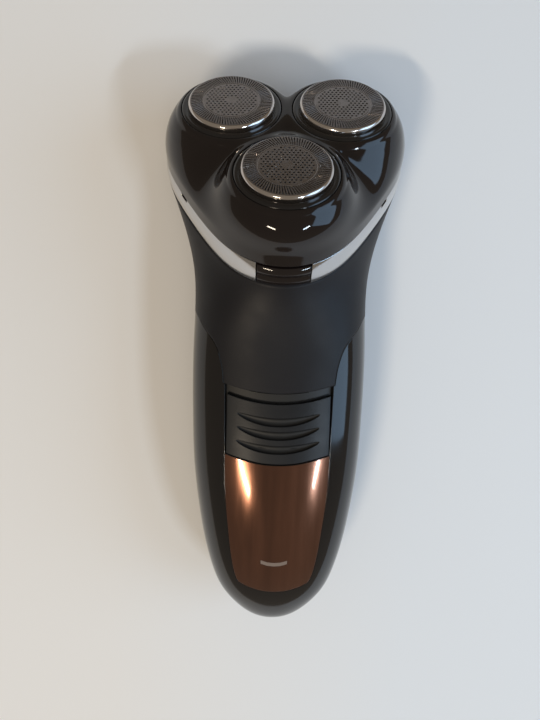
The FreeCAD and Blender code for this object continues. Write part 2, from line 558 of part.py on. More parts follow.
# slot for the switch stem and hole for the indicator light pipe
front = front.cut(box(-2.6, 2.6, -19.0 + SH, -9.0 + SH, 25, BIG))
LENS = [(-4.0, -56.6 + SH), (-2.0, -57.3 + SH), (0.0, -57.5 + SH), (2.0, -57.3 + SH), (4.0, -56.6 + SH), (4.0, -57.9 + SH), (2.0, -58.6 + SH), (0.0, -58.8 + SH), (-2.0, -58.6 + SH), (-4.0, -57.9 + SH)]
lensp = prism(LENS, 29.3, BIG)
lens = OUTER.common(lensp)
pan = pan.cut(prism(grow(LENS, 0.05), 20, BIG))
front = front.cut(prism(grow(LENS, 0.05), 20, BIG))
# finger ridges on the switch
for j, yy in enumerate((-11.0, -14.6, -18.6)):
    w = 12.0 - j * 0.2
    arc = []
    for i in range(13):
        x = -w + 2 * w * i / 12.0
        y = yy - 2.6 * (1 - (x / w) ** 2) + 0.9
        arc.append((x, y))
    top = [(x, y + 1.5 * (1 - (x / w) ** 2) + 0.25) for x, y in arc][::-1]
    groove = prism(ysh(arc + top), 37.75, BIG)
    sw = sw.cut(groove)
# stem under the switch reaching its slide carriage
sw = sw.fuse(box(-2.0, 2.0, -18.0 + SH, -13.0 + SH, 33.4, 37.6))
IW, IT, IZ = S["inlet_wide"] / 2 + S["inlet_wall"], S["inlet_tall"] / 2 + S["inlet_wall"], S["inlet_z"]
def oval(w, t, y0, y1):
    # rounded slot prism along Y with half width w and half height t
    r = t
    a = Part.makeCylinder(r, y1 - y0, V(-(w - r), y0, IZ), V(0, 1, 0))
    b = Part.makeCylinder(r, y1 - y0, V(w - r, y0, IZ), V(0, 1, 0))
    return a.fuse(b).fuse(box(-(w - r), w - r, y0, y1, IZ - r, IZ + r))
YT = -86.4 + SH
cutter = oval(IW + 0.05, IT + 0.05, -95, YT + 14.0)
back = back.cut(cutter)
front = front.cut(cutter)
sock = oval(IW, IT, -95, YT + S["inlet_deep"] + 2.5).common(OUTER).cut(oval(IW - S["inlet_wall"], IT - S["inlet_wall"], -95, YT + S["inlet_deep"]))
for sx in (-1, 1):
    sock = sock.cut(Part.makeCylinder(S["contact_rad"] - 0.25, 30, V(sx * S["pin_gap"] / 2, YT - 5, IZ), V(0, 1, 0)))
feat("inlet_socket", clean(sock))
ps = []
for sx in (-1, 1):
    # each contact has a plain nose and a thinner root held in the socket floor
    ps.append(Part.makeCylinder(S["contact_rad"], S["contact_len"], V(sx * S["pin_gap"] / 2, YT + S["inlet_deep"] - S["contact_len"], IZ), V(0, 1, 0)).fuse(Part.makeCylinder(S["contact_rad"] - 0.25, 5.0, V(sx * S["pin_gap"] / 2, YT + S["inlet_deep"], IZ), V(0, 1, 0))))
feat("inlet_pins", Part.makeCompound(ps))
# screw holes in the back shell
CS = [(13.0, -50.0), (13.0, 2.0), (-13.0, 5.0)]
cs = []
for x, y in CS:
    back = back.fuse(Part.makeCylinder(S["boss_rad"], S["frame_z"] + 5 - 0.05, V(x, y + SH, -5)).common(OUTER))
    back = back.cut(Part.makeCylinder(S["bore_rad"], 10.0, V(x, y + SH, -5))).cut(Part.makeCylinder(S["screw_rad"] + 0.05, 40, V(x, y + SH, 0)))
    sc = Part.makeCylinder(S["screw_rad"], 18.4, V(x, y + SH, 5.0)).fuse(Part.makeCylinder(S["screw_head"], 1.4, V(x, y + SH, 3.6)))
    sc = sc.cut(box(x - 1.4, x + 1.4, y + SH - 0.25, y + SH + 0.25, 3.5, 4.2)).cut(box(x - 0.25, x + 0.25, y + SH - 1.4, y + SH + 1.4, 3.5, 4.2))
    cs.append(sc)
feat("case_screws", Part.makeCompound(cs))
feat("back_shell", clean(back))
feat("front_shell", clean(front))
feat("neck_cover", clean(neck))
feat("front_panel", clean(pan))
feat("power_switch", clean(sw))
feat("indicator_lens", clean(lens))

# ------------------------------------------------------------------ trim band and release button
bw = [spl([hp(x, q, band_plane(q) + 0.05) for x, q in tri_pts(64, 0.0)]), spl([hp(x, q, -21.5 - 0.02 * q) for x, q in tri_pts(64, -0.35)]), spl([hp(x, q, S["band_high"]) for x, q in tri_pts(64, 0.0)])]
bi = [spl([hp(x, q, band_plane(q) - 0.5) for x, q in tri_pts(64, S["band_thick"])]), spl([hp(x, q, S["band_high"] + 0.5) for x, q in tri_pts(64, S["band_thick"])])]
band = Part.makeLoft(bw, True, False).cut(Part.makeLoft(bi, True, True))
notch = box(-7.2, 7.2, -40, -20, -26.5, -17)
notch.Placement = HEAD
band = band.cut(notch)
feat("trim_band", clean(band))

face = Part.Face(ring_wire(tri_r, -24.9, -0.55)).extrude(V(0, 0, 6.1))
facei = Part.Face(ring_wire(tri_r, -25.5, 0.75)).extrude(V(0, 0, 8))
btn = face.cut(facei).common(box(-6.9, 6.9, -40, -20, -26, -17))
btn = btn.fuse(box(-5.3, -4.1, -33.4, -27.9, -21.1, -20.1)).fuse(box(4.1, 5.3, -33.4, -27.9, -21.1, -20.1)).fuse(box(-5.3, 5.3, -29.9, -27.9, -21.1, -20.1)).fuse(box(-2.2, 2.2, -28.4, -27.3, -23.4, -20.1))
feat("release_button", clean(btn), HEAD)

# return spring of the release button: a folded steel strip along the press direction
Y0, Y1, TK = -27.3, -22.5, 0.25
fold = [(Y0, -21.0), (Y0 + 0.9, -23.1), (Y0 + 1.9, -20.9), (Y0 + 2.9, -23.1), (Y0 + 3.9, -20.9), (Y1, -22.9)]
up = [(y, z + TK) for y, z in fold]
lo = [(y, z - TK) for y, z in fold]
poly = [V(-1.5, y, z) for y, z in up + lo[::-1]]
strip = Part.Face(Part.makePolygon(poly + [poly[0]])).extrude(V(3.0, 0, 0))
feat("release_spring", strip, HEAD)

# ------------------------------------------------------------------ handle internals
prim("Cylinder", "battery_cell", {"Radius": "Sizes.cell_rad", "Height": "Sizes.cell_len"}, Placement(V(S["cell_x"], S["cell_y"] + SH, S["cell_z"]), Rotation(V(1, 0, 0), -90)), final=True)
t1 = box(S["cell_x"] - 2.5, S["cell_x"] + 2.5, S["cell_y"] + SH - 0.3, S["cell_y"] + SH, 8.5, 20.2)
t2 = box(S["cell_x"] - 2.5, S["cell_x"] + 2.5, S["cell_y"] + SH + S["cell_len"], S["cell_y"] + SH + S["cell_len"] + 0.3, 8.5, 20.2)
feat("battery_tabs", Part.makeCompound([t1, t2]))

def pd_body(name):
    return note(doc.addObject("PartDesign::Body", name))

def pd_sketch(body, name, z):
    sk = body.newObject("Sketcher::SketchObject", name)
    xy = [f for f in body.Origin.OriginFeatures if f.Role == "XY_Plane"][0]
    sk.AttachmentSupport = [(xy, "")]
    sk.MapMode = "FlatFace"
    sk.AttachmentOffset = Placement(V(0, 0, z), Rotation())
    return sk

def sk_rect(sk, x0, x1, y0, y1, wexpr=None, lexpr=None):
    i = len(sk.Geometry)
    P = [V(x0, y0, 0), V(x1, y0, 0), V(x1, y1, 0), V(x0, y1, 0)]
    for k in range(4):
        sk.addGeometry(Part.LineSegment(P[k], P[(k + 1) % 4]), False)
    for k in range(4):
        sk.addConstraint(Sketcher.Constraint("Coincident", i + k, 2, i + (k + 1) % 4, 1))
    for k in (0, 2):
        sk.addConstraint(Sketcher.Constraint("Horizontal", i + k))
        sk.addConstraint(Sketcher.Constraint("Vertical", i + k + 1))
    sk.addConstraint(Sketcher.Constraint("DistanceX", -1, 1, i, 1, x0))
    sk.addConstraint(Sketcher.Constraint("DistanceY", -1, 1, i, 1, y0))
    c1 = sk.addConstraint(Sketcher.Constraint("DistanceX", i, 1, i, 2, x1 - x0))
    c2 = sk.addConstraint(Sketcher.Constraint("DistanceY", i + 1, 1, i + 1, 2, y1 - y0))
    if wexpr:
        sk.setExpression("Constraints[%d]" % c1, wexpr)
    if lexpr:
        sk.setExpression("Constraints[%d]" % c2, lexpr)

def sk_circ(sk, x, y, r, rexpr=None):
    i = len(sk.Geometry)
    sk.addGeometry(Part.Circle(V(x, y, 0), V(0, 0, 1), r), False)
    sk.addConstraint(Sketcher.Constraint("DistanceX", -1, 1, i, 3, x))
    sk.addConstraint(Sketcher.Constraint("DistanceY", -1, 1, i, 3, y))
    c = sk.addConstraint(Sketcher.Constraint("Radius", i, r))
    if rexpr:
        sk.setExpression("Constraints[%d]" % c, rexpr)

# circuit board: one pad with mounting holes
bw2 = S["board_wide"] / 2
body = pd_body("circuit_board")
sk = pd_sketch(body, "board_outline", 0)
sk_rect(sk, -bw2, bw2, 0, S["board_len"], "Sizes.board_wide", "Sizes.board_len")
for x, y in ((-12, 3), (12, 3), (-12, 57), (12, 57)):
    sk_circ(sk, x, y, 1.0)
pad = body.newObject("PartDesign::Pad", "board_pad")
pad.Profile = sk
pad.setExpression("Length", "Sizes.board_thick")
body.Tip = pad
body.Placement = Placement(V(0, S["board_y"] + SH, S["board_z"]), Rotation())
body.Label = "circuit_board"
OUT["circuit_board"] = body

# slide-switch housing with the carriage slot
body = pd_body("switch_body")
sk = pd_sketch(body, "switch_outline", 0)
sk_rect(sk, -6.0, 6.0, 0, 11.0)
pad = body.newObject("PartDesign::Pad", "switch_pad")
pad.Profile = sk
pad.Length = 4.4
sk2 = pd_sketch(body, "switch_slot", 4.4)
sk_rect(sk2, -1.8, 1.8, 1.6, 8.4)
poc = body.newObject("PartDesign::Pocket", "switch_pocket")
poc.Profile = sk2
poc.Length = 2.0
body.Tip = poc
body.Placement = Placement(V(0, -19.0 + SH, S["board_z"] + S["board_thick"]), Rotation())
body.Label = "switch_body"
OUT["switch_body"] = body
doc.recompute()
if abs(pad.Shape.Volume - poc.Shape.Volume - 3.6 * 6.8 * 2.0) > 0.5:
    raise RuntimeError("switch pocket cut nothing")
zc = S["board_z"] + S["board_thick"]
prim("Box", "switch_slider", {"Length": "3 mm", "Width": "3 mm", "Height": "4.8 mm"}, Placement(V(-1.5, -17.0 + SH, 28.6), Rotation()), final=True)

# internal frame: pad, screw holes, board posts and two cell saddles
fw = S["frame_wide"] / 2
body = pd_body("frame_plate")
sk = pd_sketch(body, "frame_outline", 0)
sk_rect(sk, -fw, fw, 0, S["frame_len"], "Sizes.frame_wide", "Sizes.frame_len")
for x, y in CS:
    sk_circ(sk, x, y - S["frame_y"], S["screw_rad"], "Sizes.screw_rad")
pad = body.newObject("PartDesign::Pad", "frame_pad")
pad.Profile = sk
pad.setExpression("Length", "Sizes.frame_thick")
body.Tip = pad
body.Placement = Placement(V(0, S["frame_y"] + SH, S["frame_z"]), Rotation())
doc.recompute()
fr = body.Shape.copy()
for x, y in ((-12, 3), (12, 3), (-12, 57), (12, 57)):
    fr = fr.fuse(Part.makeCylinder(1.8, S["board_z"] - S["frame_z"] - 0.5, V(x, y + S["board_y"] + SH, S["frame_z"] + 0.5))).fuse(Part.makeCylinder(0.95, S["board_z"] - S["frame_z"] + 1.0, V(x, y + S["board_y"] + SH, S["frame_z"] + 0.5)))
for y in (-46.0, -10.0):
    sd = box(S["cell_x"] - 7.6, S["cell_x"] + 7.6, y + SH, y + 1.6 + SH, S["cell_z"], S["frame_z"] + 0.2)
    fr = fr.fuse(sd.cut(Part.makeCylinder(S["cell_rad"] + 0.02, 200, V(S["cell_x"], -100, S["cell_z"]), V(0, 1, 0))))
# slots that let the two motor leads through the plate
for sx in (-1, 1):
    fr = fr.cut(box(min(sx * 5.0, sx * 8.2), max(sx * 5.0, sx * 8.2), 5.0, 22.0, S["frame_z"] - 1, S["frame_z"] + S["frame_thick"] + 1))
feat("chassis", clean(fr))

prim("Box", "pcb_transformer", {"Length": "12 mm", "Width": "11 mm", "Height": "6.2 mm"}, Placement(V(-2.0, -38.0 + SH, zc), Rotation()), final=True)
prim("Cylinder", "pcb_capacitor", {"Radius": "3.15 mm", "Height": "6.0 mm"}, Placement(V(-8.0, -32.0 + SH, zc), Rotation()), final=True)
la = prim("Cylinder", "led_barrel", {"Radius": "Sizes.led_rad", "Height": "2.0 mm"}, Placement(V(0, -57.7 + SH, zc), Rotation()))
lb = prim("Sphere", "led_dome", {"Radius": "Sizes.led_rad"}, Placement(V(0, -57.7 + SH, zc + 1.9), Rotation()))
lc = prim("Box", "led_trim", {"Length": "6 mm", "Width": "6 mm", "Height": "6 mm"}, Placement(V(-3, -60.7 + SH, zc - 6.0), Rotation()))
lf = fuseobj("led_round", [la, lb], final=False)
cutobj("indicator_led", lf, lc)

def lead(label, pts):
    # straight runs joined by tangent arcs
    P = [V(*q) for q in pts]
    edges, last = [], P[0]
    for i in range(1, len(P) - 1):
        a, b = (P[i - 1] - P[i]), (P[i + 1] - P[i])
        run = min(a.Length, b.Length)
        a.normalize()
        b.normalize()
        half = math.acos(max(-1, min(1, a.dot(b)))) / 2
        cut = 0.42 * run
        r = cut * math.tan(half)
        p0, p1 = P[i] + a * cut, P[i] + b * cut
        bis = (a + b)
        bis.normalize()
        mid = P[i] + bis * (math.hypot(cut, r) - r)
        edges.append(Part.makeLine(last, p0))
        edges.append(Part.Arc(p0, mid, p1).toShape())
        last = p1
        print(label, "arc radius", round(r, 2))
    edges.append(Part.makeLine(last, P[-1]))
    w = Part.Wire(edges)
    pr = Part.Wire([Part.Circle(P[0], P[1] - P[0], S["wire_rad"]).toShape()])
    sh = w.makePipeShell([pr], True, False)
    print(label, sh.Volume, math.pi * S["wire_rad"] ** 2 * w.Length)
    feat(label, sh)

def loc(x, yl, h):
    v = HEAD.multVec(V(x, yl, h))
    return (v.x, v.y, v.z)
HT = CL - S["motor_len"] - S["endcap_len"] - 1.6 - S["wire_rad"]
lead("motor_lead_red", [loc(-4.0, 0, HT), (-4.5, 34.0 + SH, 12.0), (-6.0, 20.0 + SH, 14.0), (-7.0, 8.5 + SH, 22.0), (-7.0, -2.0 + SH, 25.0)])
lead("motor_lead_black", [loc(4.0, 0, HT), (4.5, 34.0 + SH, 12.0), (6.0, 20.0 + SH, 14.0), (7.0, 8.5 + SH, 22.0), (7.0, -2.0 + SH, 25.0)])

doc.recompute()
checked = True
bad = []
for o in doc.Objects:
    st = [str(s) for s in getattr(o, "State", [])]
    if any(s in ("Invalid", "Error") for s in st):
        bad.append((o.Name, st))
for lab, o in OUT.items():
    if o.Shape.isNull() or not o.Shape.isValid() or len(o.Shape.Solids) < 1:
        bad.append((lab, "shape", o.Shape.isValid() if not o.Shape.isNull() else None, len(o.Shape.Solids)))
print("bad", bad)
os.makedirs("parts", exist_ok=True)
bb = None
for lab, o in OUT.items():
    b = o.Shape.BoundBox
    if bb is None:
        bb = FreeCAD.BoundBox(b)
    else:
        bb.add(b)
    print("%-22s solids %d vol %9.2f  x %.1f %.1f y %.1f %.1f z %.1f %.1f" % (lab, len(o.Shape.Solids), o.Shape.Volume, b.XMin, b.XMax, b.YMin, b.YMax, b.ZMin, b.ZMax))
    o.Shape.exportStep("parts/" + lab + ".step")
print("bbox", bb)
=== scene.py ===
import bpy, bmesh, math, json
import numpy as np
from mathutils import Vector, Matrix
from mathutils.bvhtree import BVHTree

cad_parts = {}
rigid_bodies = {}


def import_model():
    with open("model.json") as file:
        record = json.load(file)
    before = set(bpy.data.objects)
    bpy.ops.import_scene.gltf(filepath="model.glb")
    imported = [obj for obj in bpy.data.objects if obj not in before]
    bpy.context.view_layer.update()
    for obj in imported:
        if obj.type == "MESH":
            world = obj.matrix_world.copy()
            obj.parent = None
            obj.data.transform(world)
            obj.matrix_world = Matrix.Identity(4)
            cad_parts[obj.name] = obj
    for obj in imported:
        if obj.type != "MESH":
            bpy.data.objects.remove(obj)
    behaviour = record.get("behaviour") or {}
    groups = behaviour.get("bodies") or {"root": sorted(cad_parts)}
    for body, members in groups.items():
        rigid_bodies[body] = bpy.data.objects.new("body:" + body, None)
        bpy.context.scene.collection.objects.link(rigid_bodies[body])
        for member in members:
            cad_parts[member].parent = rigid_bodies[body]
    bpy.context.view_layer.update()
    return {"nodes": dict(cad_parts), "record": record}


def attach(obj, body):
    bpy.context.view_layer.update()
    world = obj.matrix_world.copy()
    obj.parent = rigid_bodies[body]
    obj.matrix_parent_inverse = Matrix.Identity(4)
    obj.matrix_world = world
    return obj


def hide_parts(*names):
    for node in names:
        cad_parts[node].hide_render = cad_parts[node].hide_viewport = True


for o in list(bpy.data.objects):
    bpy.data.objects.remove(o)
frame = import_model()
SH = 1.9
HY, HZ = 68.83 + SH, 35.68
A = math.radians(47.0)
SA, CA = math.sin(A), math.cos(A)
NH = np.array([0, SA, CA])
UH = np.array([0, -CA, SA])
HP = np.array([0, HY, HZ])
RR = 17.1
CX = RR * math.cos(math.radians(30))
CAPS = {"front": (0.0, RR), "right": (CX, -RR / 2), "left": (-CX, -RR / 2)}
COS = [31.393, -0.248, -1.113, 4.136, -0.463, -0.095, 0.262, -0.031, -0.015]
COVER_LOW, BAND_HIGH = -18.2, -18.5


def tri_r(a):
    return sum(c * np.cos(k * a) for k, c in enumerate(COS))


def to_row(x, q, h):
    # head coordinates (across, toward the front, above the shaving plane) to the row frame
    x, q, h = np.broadcast_arrays(np.asarray(x, float), np.asarray(q, float), np.asarray(h, float))
    return np.stack([x, HY - CA * q + SA * h, HZ + SA * q + CA * h], -1)


def head_matrix(x, q, deg=0.0):
    # local Z out of the shaving plane, local Y to the rear
    p = to_row(x, q, 0.0)
    m = Matrix.Translation(Vector(p / 1000.0)) @ Matrix.Rotation(-A, 4, "X") @ Matrix.Rotation(math.radians(deg), 4, "Z")
    return m


# ------------------------------------------------------------------ materials
def mat(name, color, rough=0.4, metal=0.0, coat=0.0, coat_rough=0.05, spec=0.5, bump=0.0, bscale=400.0, rvar=0.0, rscale=60.0, bevel=0.0, sheen=0.0, ior=1.5, aniso=0.0, trans=0.0, tone_and_reflection_var=0.0, reflection_streak_stretch=0.0):
    m = bpy.data.materials.new(name)
    m.use_nodes = True
    nt = m.node_tree
    bs = nt.nodes["Principled BSDF"]
    bs.inputs["Base Color"].default_value = (*color, 1)
    bs.inputs["Roughness"].default_value = rough
    bs.inputs["Metallic"].default_value = metal
    bs.inputs["IOR"].default_value = ior
    bs.inputs["Specular IOR Level"].default_value = spec
    bs.inputs["Coat Weight"].default_value = coat
    bs.inputs["Coat Roughness"].default_value = coat_rough
    bs.inputs["Sheen Weight"].default_value = sheen
    bs.inputs["Transmission Weight"].default_value = trans
    co = nt.nodes.new("ShaderNodeTexCoord")
    if rvar > 0:
        n = nt.nodes.new("ShaderNodeTexNoise")
        n.inputs["Scale"].default_value = rscale
        n.inputs["Detail"].default_value = 5
        if reflection_streak_stretch > 0:
            mp = nt.nodes.new("ShaderNodeMapping")
            mp.inputs["Scale"].default_value = (1.0, reflection_streak_stretch, reflection_streak_stretch)
            nt.links.new(co.outputs["Object"], mp.inputs["Vector"])
            nt.links.new(mp.outputs["Vector"], n.inputs["Vector"])
        else:
            nt.links.new(co.outputs["Object"], n.inputs["Vector"])
        mr = nt.nodes.new("ShaderNodeMapRange")
        mr.inputs["From Min"].default_value = 0.35
        mr.inputs["From Max"].default_value = 0.7
        mr.inputs["To Min"].default_value = max(0.0, rough - rvar)
        mr.inputs["To Max"].default_value = rough + rvar
        nt.links.new(n.outputs["Fac"], mr.inputs["Value"])
        nt.links.new(mr.outputs["Result"], bs.inputs["Roughness"])
        # colour variation from the noise: random tone on the board; on the panel, stretched into streaks, it is painted
        # reflection
        if tone_and_reflection_var > 0:
            mx = nt.nodes.new("ShaderNodeMix")
            mx.data_type = "RGBA"
            mx.inputs["A"].default_value = (*[c * (1 - tone_and_reflection_var) for c in color], 1)
            mx.inputs["B"].default_value = (*[min(1, c * (1 + tone_and_reflection_var)) for c in color], 1)
            nt.links.new(n.outputs["Fac"], mx.inputs["Factor"])
            nt.links.new(mx.outputs["Result"], bs.inputs["Base Color"])
    last = None
    if bevel > 0:
        bv = nt.nodes.new("ShaderNodeBevel")
        bv.samples = 6
        bv.inputs["Radius"].default_value = bevel / 1000.0
        last = bv.outputs["Normal"]
    if bump > 0:
        n2 = nt.nodes.new("ShaderNodeTexNoise")
        n2.inputs["Scale"].default_value = bscale
        n2.inputs["Detail"].default_value = 4
        nt.links.new(co.outputs["Object"], n2.inputs["Vector"])
        bp = nt.nodes.new("ShaderNodeBump")
        bp.inputs["Strength"].default_value = bump
        bp.inputs["Distance"].default_value = 0.0001
        nt.links.new(n2.outputs["Fac"], bp.inputs["Height"])
        if last is not None:
            nt.links.new(last, bp.inputs["Normal"])
        last = bp.outputs["Normal"]
    if last is not None:
        nt.links.new(last, bs.inputs["Normal"])
    return m


M = {
    "cover": mat("cover_black", (0.0085, 0.0055, 0.005), 0.07, spec=0.42, rvar=0.02, bevel=0.3),
    "shell": mat("shell_black", (0.0085, 0.0075, 0.0075), 0.09, spec=0.46, rvar=0.03, bevel=0.3),
    "ring": mat("ring_black", (0.008, 0.007, 0.007), 0.13, spec=0.5, bevel=0.25),
    "button": mat("button_black", (0.009, 0.006, 0.0055), 0.07, spec=0.5, bevel=0.25),
    "soft": mat("soft_grey", (0.0085, 0.0082, 0.0102), 0.50, spec=0.24, bump=0.25, bscale=2600, rvar=0.05, rscale=90, bevel=0.8, sheen=0.05),
    "switch": mat("switch_grey", (0.0085, 0.0095, 0.0115), 0.40, spec=0.28, bump=0.2, bscale=2600, rvar=0.05, rscale=110, bevel=0.3),
    # panel: the stretched noise colour variation is painted reflection streaks on the bronze
    "panel": mat("panel_bronze", (0.150, 0.066, 0.040), 0.17, metal=0.85, coat=0.5, coat_rough=0.06, rvar=0.06, rscale=170, bevel=0.2, tone_and_reflection_var=0.55, reflection_streak_stretch=0.10),
    "chrome": mat("band_chrome", (0.60, 0.60, 0.61), 0.13, metal=1.0, rvar=0.04, bevel=0.2),
    # cap top steel darkened: painted shade, a shaded copy of the same steel as the skirt
    "foil": mat("cap_steel_painted_shade", (0.20, 0.18, 0.172), 0.20, metal=1.0, rvar=0.09, rscale=500, bevel=0.12, bump=0.12, bscale=5000),
    "lens": mat("lens_clear", (0.20, 0.155, 0.13), 0.3, coat=0.3),
    # cap skirt steel brightened: painted highlight, a lit copy of the cap steel
    "skirt": mat("cap_skirt_painted_highlight", (0.62, 0.58, 0.56), 0.12, metal=1.0, rvar=0.05, bevel=0.1),
    "inner": mat("inner_black", (0.03, 0.03, 0.032), 0.5, bump=0.2, bscale=1500),
}
NODE_MATS = {
    "knob_grey": mat("knob_grey", (0.12, 0.12, 0.13), 0.4, bump=0.2, bscale=1500),
    "pin_steel": mat("pin_steel", (0.5, 0.5, 0.52), 0.25, metal=1.0, rvar=0.06),
    "screw_steel": mat("screw_steel", (0.35, 0.35, 0.37), 0.3, metal=1.0, rvar=0.08),
    "can_steel": mat("can_steel", (0.45, 0.45, 0.46), 0.35, metal=1.0, rvar=0.08),
    "endcap_white": mat("endcap_white", (0.7, 0.7, 0.66), 0.45, bump=0.1),
    "brass_contact": mat("brass_contact", (0.75, 0.55, 0.25), 0.25, metal=1.0, rvar=0.06),
    "cell_green": mat("cell_green", (0.04, 0.2, 0.09), 0.3, coat=0.3, rvar=0.05),
    "board_green": mat("board_green", (0.015, 0.09, 0.04), 0.4, rvar=0.08, rscale=300, tone_and_reflection_var=0.2),
    "component_black": mat("component_black", (0.02, 0.02, 0.02), 0.45, bump=0.2),
    "component_blue": mat("component_blue", (0.02, 0.05, 0.2), 0.35),
    "wire_red": mat("wire_red", (0.45, 0.02, 0.015), 0.45),
    "wire_black": mat("wire_black", (0.015, 0.015, 0.015), 0.45),
    "led_red": mat("led_red", (0.5, 0.03, 0.02), 0.2, coat=0.4),
    "blade_steel": mat("blade_steel", (0.42, 0.42, 0.44), 0.28, metal=1.0, rvar=0.08, rscale=300),
    "hub_grey": mat("hub_grey", (0.14, 0.15, 0.16), 0.45, bump=0.15),
    "gear_white": mat("gear_white", (0.72, 0.72, 0.68), 0.42, bump=0.1),
    "spindle_ivory": mat("spindle_ivory", (0.55, 0.53, 0.45), 0.42, bump=0.1),
    "inner_black": M["inner"],
    "gloss_black": M["shell"], "soft_grey": M["soft"], "bronze_mirror": M["panel"], "bright_trim": M["chrome"],
    "lens_clear": M["lens"], "foil_steel": M["foil"],
}
slot_of = {s["node"]: s["material_slot"] for s in frame["record"]["subparts"]}
for n, o in frame["nodes"].items():
    o.data.materials.clear()
    o.data.materials.append(NODE_MATS[slot_of[n]])
    o.data.shade_smooth()
    o.data.set_sharp_from_angle(angle=math.radians(32))


# ------------------------------------------------------------------ mesh helpers (build in mm, kept in metres)
def new_obj(name, verts, faces):
    me = bpy.data.meshes.new(name)
    me.from_pydata([tuple(v) for v in np.asarray(verts, float) / 1000.0], [], [tuple(int(i) for i in f) for f in faces])
    me.update()
    o = bpy.data.objects.new(name, me)
    bpy.context.scene.collection.objects.link(o)
    return o


def tube_mesh(name, rows, pole0=None, pole1=None):
    # rows (m, n, 3): closed rings joined; ends closed by a pole point or an n-gon
    m, n, _ = rows.shape
    verts = rows.reshape(-1, 3)
    faces = []
    for i in range(m - 1):
        a, b = i * n, (i + 1) * n
        for j in range(n):
            k = (j + 1) % n
            faces.append((a + j, a + k, b + k, b + j))
    verts = list(verts)
    if pole0 is not None:
        p = len(verts)
        verts.append(pole0)
        faces += [(p, (j + 1) % n, j) for j in range(n)]
    else:
        faces.append(tuple(range(n))[::-1])
    if pole1 is not None:
        p = len(verts)
        verts.append(pole1)
        a = (m - 1) * n
        faces += [(p, a + j, a + (j + 1) % n) for j in range(n)]
    else:
        a = (m - 1) * n
        faces.append(tuple(a + j for j in range(n)))
    o = new_obj(name, verts, faces)
    fix_normals(o)
    return o


def fix_normals(o):
    bm = bmesh.new()
    bm.from_mesh(o.data)
    bmesh.ops.recalc_face_normals(bm, faces=bm.faces)
    bm.to_mesh(o.data)
    bm.free()


def torus_mesh(name, rows):
    # rows (m, n, 3): m profile points, closed both ways
    m, n, _ = rows.shape
    faces = []
    for i in range(m):
        a, b = i * n, ((i + 1) % m) * n
        for j in range(n):
            k = (j + 1) % n
            faces.append((a + j, a + k, b + k, b + j))
    o = new_obj(name, rows.reshape(-1, 3), faces)
    fix_normals(o)
    return o


def prism(name, pts, z0, z1):
    n = len(pts)
    v = [(p[0], p[1], z0) for p in pts] + [(p[0], p[1], z1) for p in pts]
    f = [tuple(range(n))[::-1], tuple(range(n, 2 * n))] + [(i, (i + 1) % n, n + (i + 1) % n, n + i) for i in range(n)]
    o = new_obj(name, v, f)
    fix_normals(o)
    return o


def head_box(name, x0, x1, q0, q1, h0, h1):
    c = []
    for x in (x0, x1):
        for q in (q0, q1):
            for h in (h0, h1):
                c.append(to_row(x, q, h))
    f = [(0, 1, 3, 2), (4, 6, 7, 5), (0, 4, 5, 1), (2, 3, 7, 6), (0, 2, 6, 4), (1, 5, 7, 3)]
    o = new_obj(name, c, f)
    fix_normals(o)
    return o


def head_cyl(name, x, q, r, h0, h1, n=96, r2=None):
    r2 = r if r2 is None else r2
    a = np.arange(n) * 2 * math.pi / n
    rows = np.stack([to_row(x + rr * np.cos(a), q + rr * np.sin(a), hh + 0 * a) for rr, hh in ((r, h0), (r2, h1))])
    return tube_mesh(name, rows)


def x_cyl(name, r, x0, x1, q, h, n=48):
    a = np.arange(n) * 2 * math.pi / n
    rows = np.stack([to_row(xx + 0 * a, q + r * np.cos(a), h + r * np.sin(a)) for xx in (x0, x1)])
    return tube_mesh(name, rows)


def drop(*objs):
    for o in objs:
        me = o.data
        bpy.data.objects.remove(o)
        if me.users == 0:
            bpy.data.meshes.remove(me)


def boolean(o, tool, op, keep=False):
    md = o.modifiers.new("b", "BOOLEAN")
    md.object = tool
    md.operation = op
    md.solver = "EXACT"
    dg = bpy.context.evaluated_depsgraph_get()
    me = bpy.data.meshes.new_from_object(o.evaluated_get(dg), depsgraph=dg)
    o.modifiers.clear()
    old = o.data
    o.data = me
    if old.users == 0:
        bpy.data.meshes.remove(old)
    if not keep:
        drop(tool)
    return o


def copy(o, name):
    c = bpy.data.objects.new(name, o.data.copy())
    bpy.context.scene.collection.objects.link(c)
    return c


def smooth(o, m, refs=(), angle=30):
    # shade smooth with sharp edges; faces lying on a reference surface take its interpolated normals
    me = o.data
    me.materials.clear()
    me.materials.append(m)
    me.shade_smooth()
    me.set_sharp_from_angle(angle=math.radians(angle))
    if not refs:
        return o
    nl = len(me.loops)
    cn = np.zeros(nl * 3, np.float32)
    me.corner_normals.foreach_get("vector", cn)
    cn = cn.reshape(-1, 3)
    co = np.zeros(len(me.vertices) * 3, np.float32)
    me.vertices.foreach_get("co", co)
    co = co.reshape(-1, 3)
    for tree, vn, tris in refs:
        hit = {}
        for p in me.polygons:
            c = p.center
            loc, nor, idx, dist = tree.find_nearest(c)
            if loc is None or dist > 3e-5 or abs(nor.dot(p.normal)) < 0.94:
                continue
            sg = 1.0 if nor.dot(p.normal) > 0 else -1.0
            for li in p.loop_indices:
                vi = me.loops[li].vertex_index
                if vi not in hit:
                    l2, n2, i2, d2 = tree.find_nearest(Vector(co[vi]))
                    if d2 is not None and d2 < 6e-5:
                        poly = tris[i2]
                        w = np.array([1.0 / max(1e-9, (Vector(vn[k][0:3]) - l2).length) ** 2 for k in poly])
                        nn = (w[:, None] * np.array([vn[k][3:6] for k in poly])).sum(0)
                        hit[vi] = nn / np.linalg.norm(nn)
                    else:
                        hit[vi] = None
                if hit[vi] is not None:
                    cn[li] = hit[vi] * sg
    me.normals_split_custom_set([tuple(v) for v in cn])
    return o


